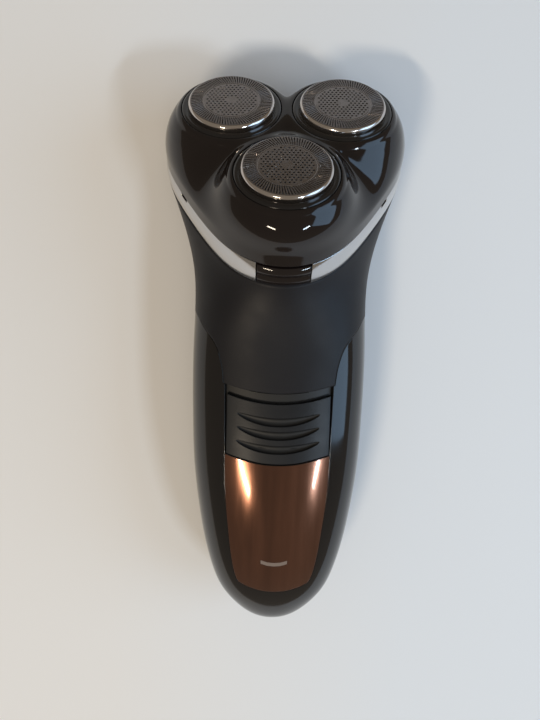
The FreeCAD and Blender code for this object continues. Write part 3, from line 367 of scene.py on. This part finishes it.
def ref_of(o):
    me = o.data
    co = [v.co.copy() for v in me.vertices]
    polys = [tuple(p.vertices) for p in me.polygons]
    t = BVHTree.FromPolygons(co, polys)
    vn = [(v.co.x, v.co.y, v.co.z, v.normal.x, v.normal.y, v.normal.z) for v in me.vertices]
    return (t, vn, polys)


# ------------------------------------------------------------------ handle surfaces
STAT = [
    (-87.0, 17.6, -87.0, 14.4, 1.8, 2.0, 0.50, 0.0),
    (-86.6, 19.3, -86.6, 12.6, 4.6, 2.0, 0.50, 0.0),
    (-85.2, 21.6, -85.2, 10.3, 7.8, 2.05, 0.50, 0.0),
    (-82.8, 24.0, -82.8, 8.0, 10.8, 2.1, 0.50, 0.0),
    (-79.0, 26.7, -79.0, 5.8, 14.1, 2.2, 0.50, 0.0),
    (-73.5, 29.7, -73.5, 3.9, 17.5, 2.3, 0.50, 0.0),
    (-66.0, 32.7, -66.0, 2.4, 20.1, 2.35, 0.50, 0.0),
    (-56.0, 35.3, -56.0, 1.1, 22.4, 2.4, 0.49, 0.0),
    (-44.0, 37.2, -44.0, 0.3, 24.2, 2.45, 0.48, 0.0),
    (-30.0, 38.2, -30.0, 0.1, 25.6, 2.5, 0.47, 0.0),
    (-16.0, 38.4, -16.0, 0.8, 26.0, 2.5, 0.47, 0.0),
    (-2.0, 38.2, -2.0, 1.7, 26.0, 2.5, 0.47, 0.0),
    (8.0, 38.3, 9.0, 2.4, 25.7, 2.5, 0.46, 0.0),
    (15.0, 39.0, 21.0, 2.8, 25.3, 2.5, 0.44, 0.04),
    (20.0, 40.1, 35.0, 2.8, 25.6, 2.4, 0.41, 0.2),
    (23.6, 41.3, 50.0, 2.0, 28.0, 2.3, 0.36, 0.5),
]
NPHI = 256
NROW = 190


def band_plane(q):
    return -24.6 - 0.04 * q


def tri_pts(n, off):
    a = np.linspace(0, 2 * math.pi, 1441)[:-1]
    r = tri_r(a) - off
    x, q = r * np.sin(a), r * np.cos(a)
    t = np.arctan2(q + 8.0, x) % (2 * math.pi)
    o = np.argsort(t)
    t, x, q = t[o], x[o], q[o]
    g = np.arange(n) * 2 * math.pi / n
    tt = np.concatenate([t - 2 * math.pi, t, t + 2 * math.pi])
    return np.interp(g, tt, np.tile(x, 3)), np.interp(g, tt, np.tile(q, 3))


def sect(st, off, n):
    yf, zf, yb, zb, w, e, c, share = st
    pf, pb = np.array([0, yf + SH, zf]), np.array([0, yb + SH, zb])
    d = pf - pb
    L = np.linalg.norm(d)
    d = d / L
    cen = pb + d * (c * L)
    af, ab, ww = (1 - c) * L - off, c * L - off, w - off
    xt, qt = tri_pts(n, 0.0)
    tq = qt + 8.0
    t = np.arange(n) * 2 * math.pi / n
    cs, sn = np.cos(t), np.sin(t)
    x = ww * np.sign(cs) * np.abs(cs) ** (2.0 / e)
    v = np.where(sn >= 0, af, ab) * np.sign(sn) * np.abs(sn) ** (2.0 / e)
    x2 = xt / xt.max() * ww
    v2 = np.where(tq >= 0, tq / tq.max() * af, tq / -tq.min() * ab)
    xx = x + (x2 - x) * share
    vv = v + (v2 - v) * share
    out = cen[None, :] + d[None, :] * vv[:, None]
    out[:, 0] = xx
    return out


def resample(P):
    # even spacing along each closed section
    n = len(P)
    Q = np.vstack([P, P[:1]])
    s = np.concatenate([[0], np.cumsum(np.linalg.norm(np.diff(Q, axis=0), axis=1))])
    g = np.arange(n) * s[-1] / n
    return np.stack([np.interp(g, s, Q[:, k]) for k in range(3)], 1)


def spline_rows(rows, m):
    K = len(rows)
    d = np.array([0] + [np.linalg.norm(rows[i + 1] - rows[i], axis=1).mean() for i in range(K - 1)])
    s = np.cumsum(np.sqrt(d * np.maximum(d, 1.0)) if False else d)
    R = rows.reshape(K, -1)
    h = np.diff(s)
    Am = np.zeros((K, K))
    B = np.zeros((K, R.shape[1]))
    Am[0, 0] = Am[-1, -1] = 1
    for i in range(1, K - 1):
        Am[i, i - 1], Am[i, i], Am[i, i + 1] = h[i - 1], 2 * (h[i - 1] + h[i]), h[i]
        B[i] = 6 * ((R[i + 1] - R[i]) / h[i] - (R[i] - R[i - 1]) / h[i - 1])
    Mx = np.linalg.solve(Am, B)
    # sample finer near the tail
    u = np.linspace(0, 1, m)
    g = s[-1] * (u ** 1.35)
    k = np.clip(np.searchsorted(s, g, side="right") - 1, 0, K - 2)
    a, b = (s[k + 1] - g)[:, None], (g - s[k])[:, None]
    hh = h[k][:, None]
    out = Mx[k] * a ** 3 / (6 * hh) + Mx[k + 1] * b ** 3 / (6 * hh) + (R[k] / hh - Mx[k] * hh / 6) * a + (R[k + 1] / hh - Mx[k + 1] * hh / 6) * b
    return out.reshape(m, -1, 3)


def skin(name, off, extra):
    n = NPHI
    fine = 1440
    rows = [sect(st, off, fine) for k, st in enumerate(STAT) if off == 0 or k >= 2]
    x, q = tri_pts(fine, off)
    rows.append(to_row(x, q, band_plane(q)))
    rows = np.stack([resample(r)[:: fine // n][:n] if fine % n == 0 else resample(r)[np.round(np.arange(n) * fine / n).astype(int)] for r in rows])
    R = spline_rows(rows, NROW)
    if extra:
        last = R[-1] + NH * 2.0
        R = np.concatenate([R, last[None]])
    return tube_mesh(name, R, pole0=R[0].mean(0), pole1=R[-1].mean(0))


OUT = skin("o", 0.0, False)
MID = skin("m", 1.1, True)
INN = skin("i", 2.2, True)
LOW = skin("l", 0.95, True)
ref_out = ref_of(OUT)
ref_mid = ref_of(MID)


def arc_pts(pts):
    return [(x, y + SH) for x, y in pts]


def curve_pts(pts, n=6):
    # rounds a polyline with a Catmull-Rom pass; corners are repeated in the list
    out = []
    P = [np.array(p, float) for p in pts]
    m = len(P)
    for i in range(m):
        a, b, c, d = P[i - 1], P[i], P[(i + 1) % m], P[(i + 2) % m]
        if np.allclose(b, c):
            continue
        if np.allclose(a, b):
            a = b - (c - b)
        if np.allclose(c, d):
            d = c + (c - b)
        for k in range(n):
            t = k / n
            out.append(tuple(0.5 * (2 * b + (c - a) * t + (2 * a - 5 * b + 4 * c - d) * t * t + (3 * b - a - 3 * c + d) * t ** 3)))
    return out


PANEL = [(-15.1, -22.4), (-15.1, -22.4), (-10, -23.6), (-5, -24.6), (0, -24.9), (5, -24.6), (10, -23.6), (15.1, -22.4), (15.1, -22.4), (14.9, -34), (14.1, -45), (12.8, -58), (11.3, -65.2), (9.6, -66.9), (7, -68.1), (3.5, -69.1), (0, -69.4), (-3.5, -69.1), (-7, -68.1), (-9.6, -66.9), (-11.3, -65.2), (-12.8, -58), (-14.1, -45), (-14.9, -34)]
NECK = [(-40, 60), (-40, 60), (-40, 18), (-40, 18), (-26, 17.5), (-21.4, 13.4), (-18.0, 9.2), (-16.3, 4.0), (-15.6, -1.3), (-15.6, -1.3), (-10, -2.55), (-5, -3.2), (0, -3.5), (5, -3.2), (10, -2.55), (15.6, -1.3), (15.6, -1.3), (16.3, 4.0), (18.0, 9.2), (21.4, 13.4), (26, 17.5), (40, 18), (40, 18), (40, 60), (40, 60)]
POCK = [(-15.3, -1.2), (-15.3, -1.2), (-10, -2.6), (-5, -3.4), (0, -3.6), (5, -3.4), (10, -2.6), (15.3, -1.2), (15.3, -1.2), (15.1, -22.2), (15.1, -22.2), (10, -23.4), (5, -24.4), (0, -24.7), (-5, -24.4), (-10, -23.4), (-15.1, -22.2), (-15.1, -22.2)]
SWITCH = [(-14.6, -4.35), (-14.6, -4.35), (-10, -5.5), (-5, -6.35), (0, -6.65), (5, -6.35), (10, -5.5), (14.6, -4.35), (14.6, -4.35), (14.8, -22.0), (14.8, -22.0), (10, -23.1), (5, -24.1), (0, -24.4), (-5, -24.1), (-10, -23.1), (-14.8, -22.0), (-14.8, -22.0)]


def scaled(pts, g):
    P = np.array(pts)
    c = P.mean(0)
    return [(x + math.copysign(g, x - c[0]) if abs(x - c[0]) > 1 else x, y + math.copysign(g, y - c[1])) for x, y in pts]


def pr(name, pts, z0, z1=120, g=0.0):
    p = curve_pts(pts)
    if g:
        p = scaled(p, g)
    return prism(name, arc_pts(p), z0, z1)


def bbox(name, x0, x1, y0, y1, z0, z1):
    return prism(name, [(x0, y0), (x1, y0), (x1, y1), (x0, y1)], z0, z1)


ZS = 18.0
YT = -86.4 + SH
shell = copy(OUT, "shell")
boolean(shell, copy(INN, "i2"), "DIFFERENCE")
# oval plug hole at the tail
def oval_y(name, w, t, y0, y1, n=20):
    pts = []
    for i in range(n + 1):
        a = -math.pi / 2 + math.pi * i / n
        pts.append((w - t + t * math.cos(a), t * math.sin(a)))
    for i in range(n + 1):
        a = math.pi / 2 + math.pi * i / n
        pts.append((-(w - t) + t * math.cos(a), t * math.sin(a)))
    rows = np.array([[(x, yy, 16.0 + z) for x, z in pts] for yy in (y0, y1)])
    return tube_mesh(name, rows)


boolean(shell, oval_y("ov", 5.85, 3.85, -110, YT + 14.0), "DIFFERENCE")
back = copy(shell, "vis_back_shell")
boolean(back, bbox("bx", -150, 150, -150, 150, -50, ZS - 0.02), "INTERSECT")
for x, y in ((13.0, -50.0), (13.0, 2.0), (-13.0, 5.0)):
    a = np.arange(40) * 2 * math.pi / 40
    for r, z0, z1, op in ((3.2, -5.0, 20.35, "UNION"), (2.3, -6.0, 5.0, "DIFFERENCE"), (1.15, 4.0, 22.0, "DIFFERENCE")):
        rows = np.stack([np.stack([x + r * np.cos(a), y + SH + r * np.sin(a), z + 0 * a], 1) for z in (z0, z1)])
        c = tube_mesh("c", rows)
        if op == "UNION":
            boolean(c, OUT, "INTERSECT", keep=True)
        boolean(back, c, op)
front = shell
front.name = "vis_front_shell"
boolean(front, bbox("bx", -150, 150, -150, 150, ZS + 0.1, 150), "INTERSECT")
neck = copy(front, "vis_neck_cover")
boolean(neck, pr("nk", NECK, ZS + 0.2), "INTERSECT")
boolean(front, pr("nk", NECK, ZS - 1, g=0.1), "DIFFERENCE")
tool = pr("pt", PANEL, 24, g=0.08)
boolean(tool, MID, "DIFFERENCE", keep=True)
boolean(front, tool, "DIFFERENCE")
tool = pr("kt", POCK, 24, g=0.0)
boolean(tool, MID, "DIFFERENCE", keep=True)
boolean(front, tool, "DIFFERENCE")
boolean(front, bbox("st", -2.6, 2.6, -19.0 + SH, -9.0 + SH, 25, 100), "DIFFERENCE")
panel = pr("vis_front_panel", PANEL, 25)
boolean(panel, OUT, "INTERSECT", keep=True)
boolean(panel, MID, "DIFFERENCE", keep=True)
LENS = [(-4.0, -56.6), (-2.0, -57.3), (0.0, -57.5), (2.0, -57.3), (4.0, -56.6), (4.0, -57.9), (2.0, -58.6), (0.0, -58.8), (-2.0, -58.6), (-4.0, -57.9)]
boolean(panel, prism("ln", arc_pts(scaled(LENS, 0.05)), 20, 90), "DIFFERENCE")
boolean(front, prism("ln", arc_pts(scaled(LENS, 0.05)), 20, 90), "DIFFERENCE")
lens = prism("vis_indicator_lens", arc_pts(LENS), 29.3, 90)
boolean(lens, OUT, "INTERSECT", keep=True)
switch = pr("vis_power_switch", SWITCH, 30)
boolean(switch, OUT, "INTERSECT", keep=True)
boolean(switch, LOW, "DIFFERENCE", keep=True)


# crescent grooves in the switch: rounded trench swept along a shallow arc
def crescent(yc, w, bow, half, deep):
    n, m = 49, 20
    xs = np.linspace(-w, w, n)
    rows = []
    for x in xs:
        f = max(0.02, 1 - abs(x / w) ** 2.6) ** 0.55
        cy = yc - bow * (1 - (x / w) ** 2)
        a = np.arange(m) * 2 * math.pi / m
        rows.append(np.stack([x + 0 * a, cy + SH + half * f * np.cos(a), 38.35 - 0.018 * abs(x) ** 1.9 / 1.6 + deep * f * np.sin(a)], 1))
    return tube_mesh("cr", np.array(rows), pole0=rows[0].mean(0), pole1=rows[-1].mean(0))


for yc, w in ((-10.2, 11.6), (-14.2, 11.6), (-18.4, 11.8)):
    boolean(switch, crescent(yc + 0.6, w, 2.3, 1.25, 0.85), "DIFFERENCE")
boolean(switch, bbox("sm", -2.0, 2.0, -18.0 + SH, -13.0 + SH, 33.4, 37.5), "UNION")

smooth(front, M["shell"], (ref_out, ref_mid))
smooth(back, M["shell"], (ref_out,))
smooth(neck, M["soft"], (ref_out,))
smooth(panel, M["panel"], (ref_out,))
smooth(switch, M["switch"], (ref_out,))
# painted shade: a darker material for the switch grooves and the pocket recess behind the switch
M["groove"] = mat("painted_recess_shade", (0.0035, 0.0037, 0.004), 0.5)


# puts a second material on the faces picked by test: painted shade in the grooves and pocket recess, painted highlight
# on the cap skirt
def assign_painted_light_mat(o, m, test):
    o.data.materials.append(m)
    for p in o.data.polygons:
        c = p.center * 1000.0
        if test(c, p.normal):
            p.material_index = 1


tree_out = ref_out[0]
# painted shade in the switch grooves (faces below the outer skin)
assign_painted_light_mat(switch, M["groove"], lambda c, n: tree_out.find_nearest(c / 1000.0)[3] > 2.0e-4 and -23 < c.y - SH < -5 and abs(c.x) < 13.5 and n.z > 0.1)
# painted shade in the pocket recess behind the switch
assign_painted_light_mat(front, M["groove"], lambda c, n: abs(c.x) < 15.4 and -25 < c.y - SH < 0 and c.z > 30 and tree_out.find_nearest(c / 1000.0)[3] > 3e-4)
smooth(lens, M["lens"])
for o, b, n in ((front, "body", "front_shell"), (back, "body", "back_shell"), (neck, "body", "neck_cover"), (panel, "body", "front_panel"), (switch, "power_switch", "power_switch"), (lens, "body", "indicator_lens")):
    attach(o, b)
    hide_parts(n)
drop(OUT, MID, INN, LOW)

# ------------------------------------------------------------------ trim band and release button
NB = 384
aa = np.arange(NB) * 2 * math.pi / NB


def band_rows(prof):
    # prof: list of (offset outward, fraction from the lower edge to the upper edge)
    rows = []
    for off, f in prof:
        r = tri_r(aa) + off
        x, q = r * np.sin(aa), r * np.cos(aa)
        lo = band_plane(q) + 0.05
        rows.append(to_row(x, q, lo + (BAND_HIGH - lo) * f))
    return np.array(rows)


prof = [(-1.8, 0.0), (-0.3, 0.0), (-0.08, 0.012), (0.0, 0.05), (0.12, 0.18), (0.22, 0.34), (0.27, 0.5), (0.24, 0.66), (0.14, 0.82), (0.0, 0.94), (-0.1, 0.985), (-0.35, 1.0), (-1.8, 1.0)]
band = torus_mesh("vis_trim_band", band_rows(prof))
boolean(band, head_box("nt", -7.2, 7.2, 20, 40, -26.5, -17), "DIFFERENCE")
for sx in (-1, 1):
    boolean(band, head_box("cn", sx * 27.4 - 0.8, sx * 27.4 + 0.8, 2.0, 12.0, -19.3, -18.0), "DIFFERENCE")
smooth(band, M["chrome"], angle=35)
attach(band, "body")
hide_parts("trim_band")

def sector_rows(prof):
    rows = []
    for off, h in prof:
        r = tri_r(aa) + off
        rows.append(to_row(r * np.sin(aa), r * np.cos(aa), h + 0 * aa))
    return np.array(rows)


bp = [(-0.75, -24.9), (0.0, -24.9), (0.32, -24.75), (0.48, -24.4), (0.55, -23.6), (0.5, -22.9), (0.28, -22.45), (0.2, -22.2), (0.34, -21.9), (0.62, -21.5), (0.72, -20.8), (0.66, -20.0), (0.46, -19.3), (0.1, -18.9), (-0.75, -18.8)]
btn = torus_mesh("vis_release_button", sector_rows(bp))
boolean(btn, head_box("bb", -6.9, 6.9, 20, 40, -27, -17), "INTERSECT")
for bx in ((-5.3, -4.1, 27.9, 33.4, -21.1, -20.1), (4.1, 5.3, 27.9, 33.4, -21.1, -20.1), (-5.3, 5.3, 27.9, 29.9, -21.1, -20.1), (-2.2, 2.2, 27.3, 28.4, -23.4, -20.1)):
    boolean(btn, head_box("ab", *bx), "UNION")
smooth(btn, M["button"], angle=35)
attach(btn, "release_button")
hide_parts("release_button")

# ------------------------------------------------------------------ head cover
LX = [0.0, CX, -CX]
LQ = [RR, -RR / 2, -RR / 2]


def lobe_outline(a, rho, soft=2.2, push=1.0):
    lo, hi = np.full(a.shape, 5.0), np.full(a.shape, 60.0)
    dx, dq = np.sin(a), np.cos(a)
    for _ in range(34):
        mid = 0.5 * (lo + hi)
        s = 0
        for x, q in zip(LX, LQ):
            s = s + np.exp(-(np.hypot(mid * dx - x * push, mid * dq - q * push) - rho) / soft)
        f = -soft * np.log(s)
        lo = np.where(f < 0, mid, lo)
        hi = np.where(f < 0, hi, mid)
    return 0.5 * (lo + hi)


HT = np.linspace(-26, 1.0, 109)
AT = np.linspace(0, 2 * math.pi, 721)
TAB = np.zeros((len(HT), len(AT)))
for i, h in enumerate(HT):
    hh = -h
    rho = 15.3 if hh < 3.5 else 15.3 + 2.6 * (1 - math.exp(-(hh - 3.5) / 3.2))
    l = lobe_outline(AT, np.full(AT.shape, rho))
    g = tri_r(AT) + 0.25 * (hh - 18.2) / 18.2
    f = min(1.0, max(0.0, (hh - 5.0) / 10.0))
    f = f * f * (3 - 2 * f)
    TAB[i] = l + (g - l) * f


def cover_r(a, h):
    a = a % (2 * math.pi)
    fi = np.clip((h - HT[0]) / (HT[1] - HT[0]), 0, len(HT) - 1.001)
    fj = a / (2 * math.pi) * 720
    i, j = fi.astype(int), np.minimum(fj.astype(int), 719)
    u, v = fi - i, fj - j
    return (TAB[i, j] * (1 - u) + TAB[i + 1, j] * u) * (1 - v) + (TAB[i, j + 1] * (1 - u) + TAB[i + 1, j + 1] * u) * v


def top_h(x, q):
    # height of the top skin: flat round each cap, sinking into the valleys between and behind them
    dm = np.full(np.shape(x), 1e9)
    s = 0
    for lx, lq in zip(LX, LQ):
        s = s + np.exp(-(np.hypot(x - lx, q - lq) - 13.5) / 1.3)
    d = -1.3 * np.log(s)
    t = np.clip((d - 0.2) / 5.5, 0, 1)
    return -2.1 - 3.4 * t * t * (3 - 2 * t)


def field(x, q, h, off):
    r = np.hypot(x, q)
    lat = r - cover_r(np.arctan2(x, q), h)
    top = h - top_h(x, q)
    k = 2.6
    m = np.maximum(lat, top)
    e = np.maximum(k - np.abs(lat - top), 0) / k
    return m + e * e * k * 0.25 + off


def cover_mesh(name, off, low):
    nt, na = ((190, 420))
    O = np.array([0.0, 2.0, -15.0])
    th = np.linspace(0.004, math.radians(118), nt)
    ph = np.arange(na) * 2 * math.pi / na
    T, P = np.meshgrid(th, ph, indexing="ij")
    dx, dq, dh = np.sin(T) * np.sin(P), np.sin(T) * np.cos(P), np.cos(T)
    lo, hi = np.full(T.shape, 2.0), np.full(T.shape, 60.0)
    for _ in range(30):
        mid = 0.5 * (lo + hi)
        f = field(O[0] + mid * dx, O[1] + mid * dq, np.maximum(O[2] + mid * dh, -25.9), off)
        lo = np.where(f < 0, mid, lo)
        hi = np.where(f < 0, hi, mid)
    R = 0.5 * (lo + hi)
    rows = to_row(O[0] + R * dx, O[1] + R * dq, O[2] + R * dh)
    o = tube_mesh(name, rows, pole0=rows[0].mean(0), pole1=to_row(0, 0, -30.0))
    return o


co = cover_mesh("vis_head_cover", 0.0, -20)
ref_cov = ref_of(co)
boolean(co, head_box("hb", -60, 60, -60, 60, COVER_LOW, 20), "INTERSECT")
ci = cover_mesh("ci", 1.8, -20)
boolean(co, ci, "DIFFERENCE")
for k, (x, q) in CAPS.items():
    boolean(co, head_cyl("hc", x, q, 13.52, -20, 5), "DIFFERENCE")
HQ, HH = -27.6, -17.3
for sx in (-1, 1):
    x0, x1 = (3.05, 6.25) if sx > 0 else (-6.25, -3.05)
    boolean(co, head_box("nb", x0, x1, HQ - 3, HQ + 4.5, -19.0, -15.6), "DIFFERENCE")
for bx in ((-3, 3, 30.2, 31.3, -22.3, -17.4), (-3, 3, 30.4, 33.0, -18.2, -16.8), (-3, 3, 29.2, 30.3, -22.3, -21.4), (-2.95, 2.95, -27.9, -24.6, -18.2, -15.9)):
    boolean(co, head_box("ub", *bx), "UNION")
boolean(co, x_cyl("kn", 1.7, -2.95, 2.95, HQ, HH), "UNION")
boolean(co, x_cyl("kb", 0.77, -4, 4, HQ, HH), "DIFFERENCE")
bs = head_cyl("bs", 0, 0, 2.7, -7.6, -6.3, 48)
boolean(bs, head_cyl("bt", 0, 0, 2.2, -7.7, -6.0, 48), "DIFFERENCE")
boolean(co, bs, "UNION")
smooth(co, M["cover"], (ref_cov,), angle=30)
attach(co, "head")
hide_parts("head_cover")


# ------------------------------------------------------------------ caps and guard rings
def revolve(name, prof, n):
    a = np.arange(n) * 2 * math.pi / n
    rows = np.array([np.stack([r * np.cos(a), r * np.sin(a), z + 0 * a], 1) for r, z in prof])
    return torus_mesh(name, rows)


def fillet(cx, cz, r, a0, a1, n=6):
    return [(cx + r * math.cos(math.radians(a0 + (a1 - a0) * i / n)), cz + r * math.sin(math.radians(a0 + (a1 - a0) * i / n))) for i in range(n + 1)]


nc = 180
top = [(0.02, 0.0), (7.2, 0.0), (7.32, -0.06), (7.45, 0.0), (10.75, -0.02)] + fillet(10.6, -0.9, 0.9, 78, 0) + [(11.5, -5.5), (11.4, -5.6), (11.1, -5.6), (11.1, -1.2), (10.7, -0.45), (0.02, -0.4)]
cap = revolve("cap", top, nc)
tools_v, tools_f = [], []


def add_prism(poly, z0, z1):
    b = len(tools_v)
    n = len(poly)
    tools_v.extend([(x, y, z0) for x, y in poly] + [(x, y, z1) for x, y in poly])
    tools_f.append(tuple(b + i for i in range(n))[::-1])
    tools_f.append(tuple(b + n + i for i in range(n)))
    tools_f.extend([(b + i, b + (i + 1) % n, b + n + (i + 1) % n, b + n + i) for i in range(n)])


NS = 90
for i in range(NS):
    a = 2 * math.pi * i / NS
    w0, w1 = 0.12, 0.17
    c, s = math.cos(a), math.sin(a)
    tw = math.radians(16)
    p0 = np.array([7.75, 0.0])
    d = np.array([math.cos(tw), math.sin(tw)])
    nrm = np.array([-d[1], d[0]])
    L = 2.95
    poly = [p0 - nrm * w0, p0 + d * L - nrm * w1, p0 + d * (L + 0.12), p0 + d * L + nrm * w1, p0 + nrm * w0, p0 - d * 0.1]
    rot = np.array([[c, -s], [s, c]])
    add_prism([tuple(rot @ p) for p in poly], -0.9, 0.4)
pitch = 1.06
for i in range(-8, 9):
    for j in range(-8, 9):
        x, y = i * pitch + (j % 2) * pitch / 2, j * pitch * 0.866
        d = math.hypot(x, y)
        if 1.35 < d < 6.75:
            add_prism([(x + 0.29 * math.cos(t), y + 0.29 * math.sin(t)) for t in np.arange(8) * math.pi / 4], -0.9, 0.4)
ct = new_obj("ct", tools_v, tools_f)
fix_normals(ct)
boolean(cap, ct, "DIFFERENCE")
smooth(cap, M["foil"], angle=25)
# skirt faces get the brighter steel: painted highlight on the cap skirt
assign_painted_light_mat(cap, M["skirt"], lambda c, n: math.hypot(c.x, c.y) > 10.98)
rp = [(11.53, -1.95), (12.2, -1.86)] + fillet(12.6, -2.6, 0.8, 90, 0) + [(13.4, -6.7), (14.2, -6.7), (14.2, -7.6), (10.83, -7.6), (10.83, -6.2), (11.53, -5.7)]
ring = revolve("ring", rp, nc)
smooth(ring, M["ring"], angle=32)
for k, (x, q) in CAPS.items():
    deg = {"front": 0, "right": 120, "left": -120}[k]
    m = head_matrix(x, q, deg)
    for src, nm, node in ((cap, "vis_shaving_cap_" + k, "shaving_cap_" + k), (ring, "vis_guard_ring_" + k, "guard_ring_" + k)):
        me = src.data.copy()
        me.transform(m)
        o = bpy.data.objects.new(nm, me)
        bpy.context.scene.collection.objects.link(o)
        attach(o, "cap_" + k)
        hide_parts(node)
drop(cap, ring)

# ------------------------------------------------------------------ stage, lights, camera
me = bpy.data.meshes.new("floor")
me.from_pydata([(-0.8, -0.8, 0), (0.8, -0.8, 0), (0.8, 0.3, 0), (-0.8, 0.3, 0)], [], [(0, 1, 2, 3)])
floor = bpy.data.objects.new("floor", me)
bpy.context.scene.collection.objects.link(floor)
fm = bpy.data.materials.new("paper")
fm.use_nodes = True
nt = fm.node_tree
bs = nt.nodes["Principled BSDF"]
bs.inputs["Roughness"].default_value = 0.6
tc = nt.nodes.new("ShaderNodeTexCoord")
sx = nt.nodes.new("ShaderNodeSeparateXYZ")
nt.links.new(tc.outputs["Object"], sx.inputs["Vector"])
# warm-to-cool colour gradient across X: painted light, warm lamp light on the left, cool window light on the right
mr = nt.nodes.new("ShaderNodeMapRange")
mr.inputs["From Min"].default_value = -0.06
mr.inputs["From Max"].default_value = 0.05
nt.links.new(sx.outputs["X"], mr.inputs["Value"])
mx = nt.nodes.new("ShaderNodeMix")
mx.data_type = "RGBA"
mx.inputs["A"].default_value = (0.80, 0.785, 0.765, 1)
mx.inputs["B"].default_value = (0.765, 0.80, 0.84, 1)
nt.links.new(mr.outputs["Result"], mx.inputs["Factor"])
nt.links.new(mx.outputs["Result"], bs.inputs["Base Color"])
me.materials.append(fm)

world = bpy.data.worlds.new("w")
bpy.context.scene.world = world
world.use_nodes = True
wn = world.node_tree
bg = wn.nodes["Background"]
bg.inputs["Color"].default_value = (0.31, 0.265, 0.21, 1)
bg.inputs["Strength"].default_value = 0.78


def area(name, loc, target, size, power, color, size_y=None):
    l = bpy.data.lights.new(name, "AREA")
    l.energy = power
    l.color = color
    l.size = size
    if size_y:
        l.shape = "RECTANGLE"
        l.size_y = size_y
    o = bpy.data.objects.new(name, l)
    bpy.context.scene.collection.objects.link(o)
    o.location = loc
    o.rotation_euler = (Vector(target) - Vector(loc)).to_track_quat("-Z", "Y").to_euler()
    return o


area("window", (1.5, 0.0, 0.85), (0, 0, 0.0), 1.3, 13.0, (0.45, 0.70, 1.0), 1.1)
area("lamp_a", (-0.62, -0.80, 1.45), (0, 0, 0.02), 0.42, 9.5, (1.0, 0.85, 0.66), 0.07)
area("lamp_b", (0.97, -0.75, 1.38), (0, 0, 0.02), 0.42, 7.5, (0.72, 0.86, 1.0), 0.07)
fill = area("fill", (-0.1, -0.25, 1.7), (0, 0, 0), 1.3, 5.0, (1.0, 0.97, 0.93), 1.1)
fill.visible_glossy = False

C = np.array([-4.8355, 45.1043 + SH, 209.9134])
p, y, r = 0.22288, 0.01134, 0.02454
fwd = np.array([0, -math.sin(p), -math.cos(p)])
up = np.array([0, math.cos(p), -math.sin(p)])
right = np.array([1.0, 0, 0])
fwd, right = math.cos(y) * fwd + math.sin(y) * right, math.cos(y) * right - math.sin(y) * fwd
right, up = math.cos(r) * right + math.sin(r) * up, math.cos(r) * up - math.sin(r) * right
cam = bpy.data.cameras.new("cam")
cam.sensor_fit = "AUTO"
cam.sensor_width = 36.0
cam.lens = 639.12 * 36.0 / 720.0
cam.clip_start = 0.01
cam.dof.use_dof = False
co_ = bpy.data.objects.new("cam", cam)
bpy.context.scene.collection.objects.link(co_)
R = Matrix(((right[0], up[0], -fwd[0]), (right[1], up[1], -fwd[1]), (right[2], up[2], -fwd[2])))
co_.matrix_world = Matrix.Translation(Vector(C / 1000.0)) @ R.to_4x4()
bpy.context.scene.camera = co_
bpy.context.scene.view_settings.view_transform = "Standard"
bpy.context.scene.view_settings.exposure = 0.0
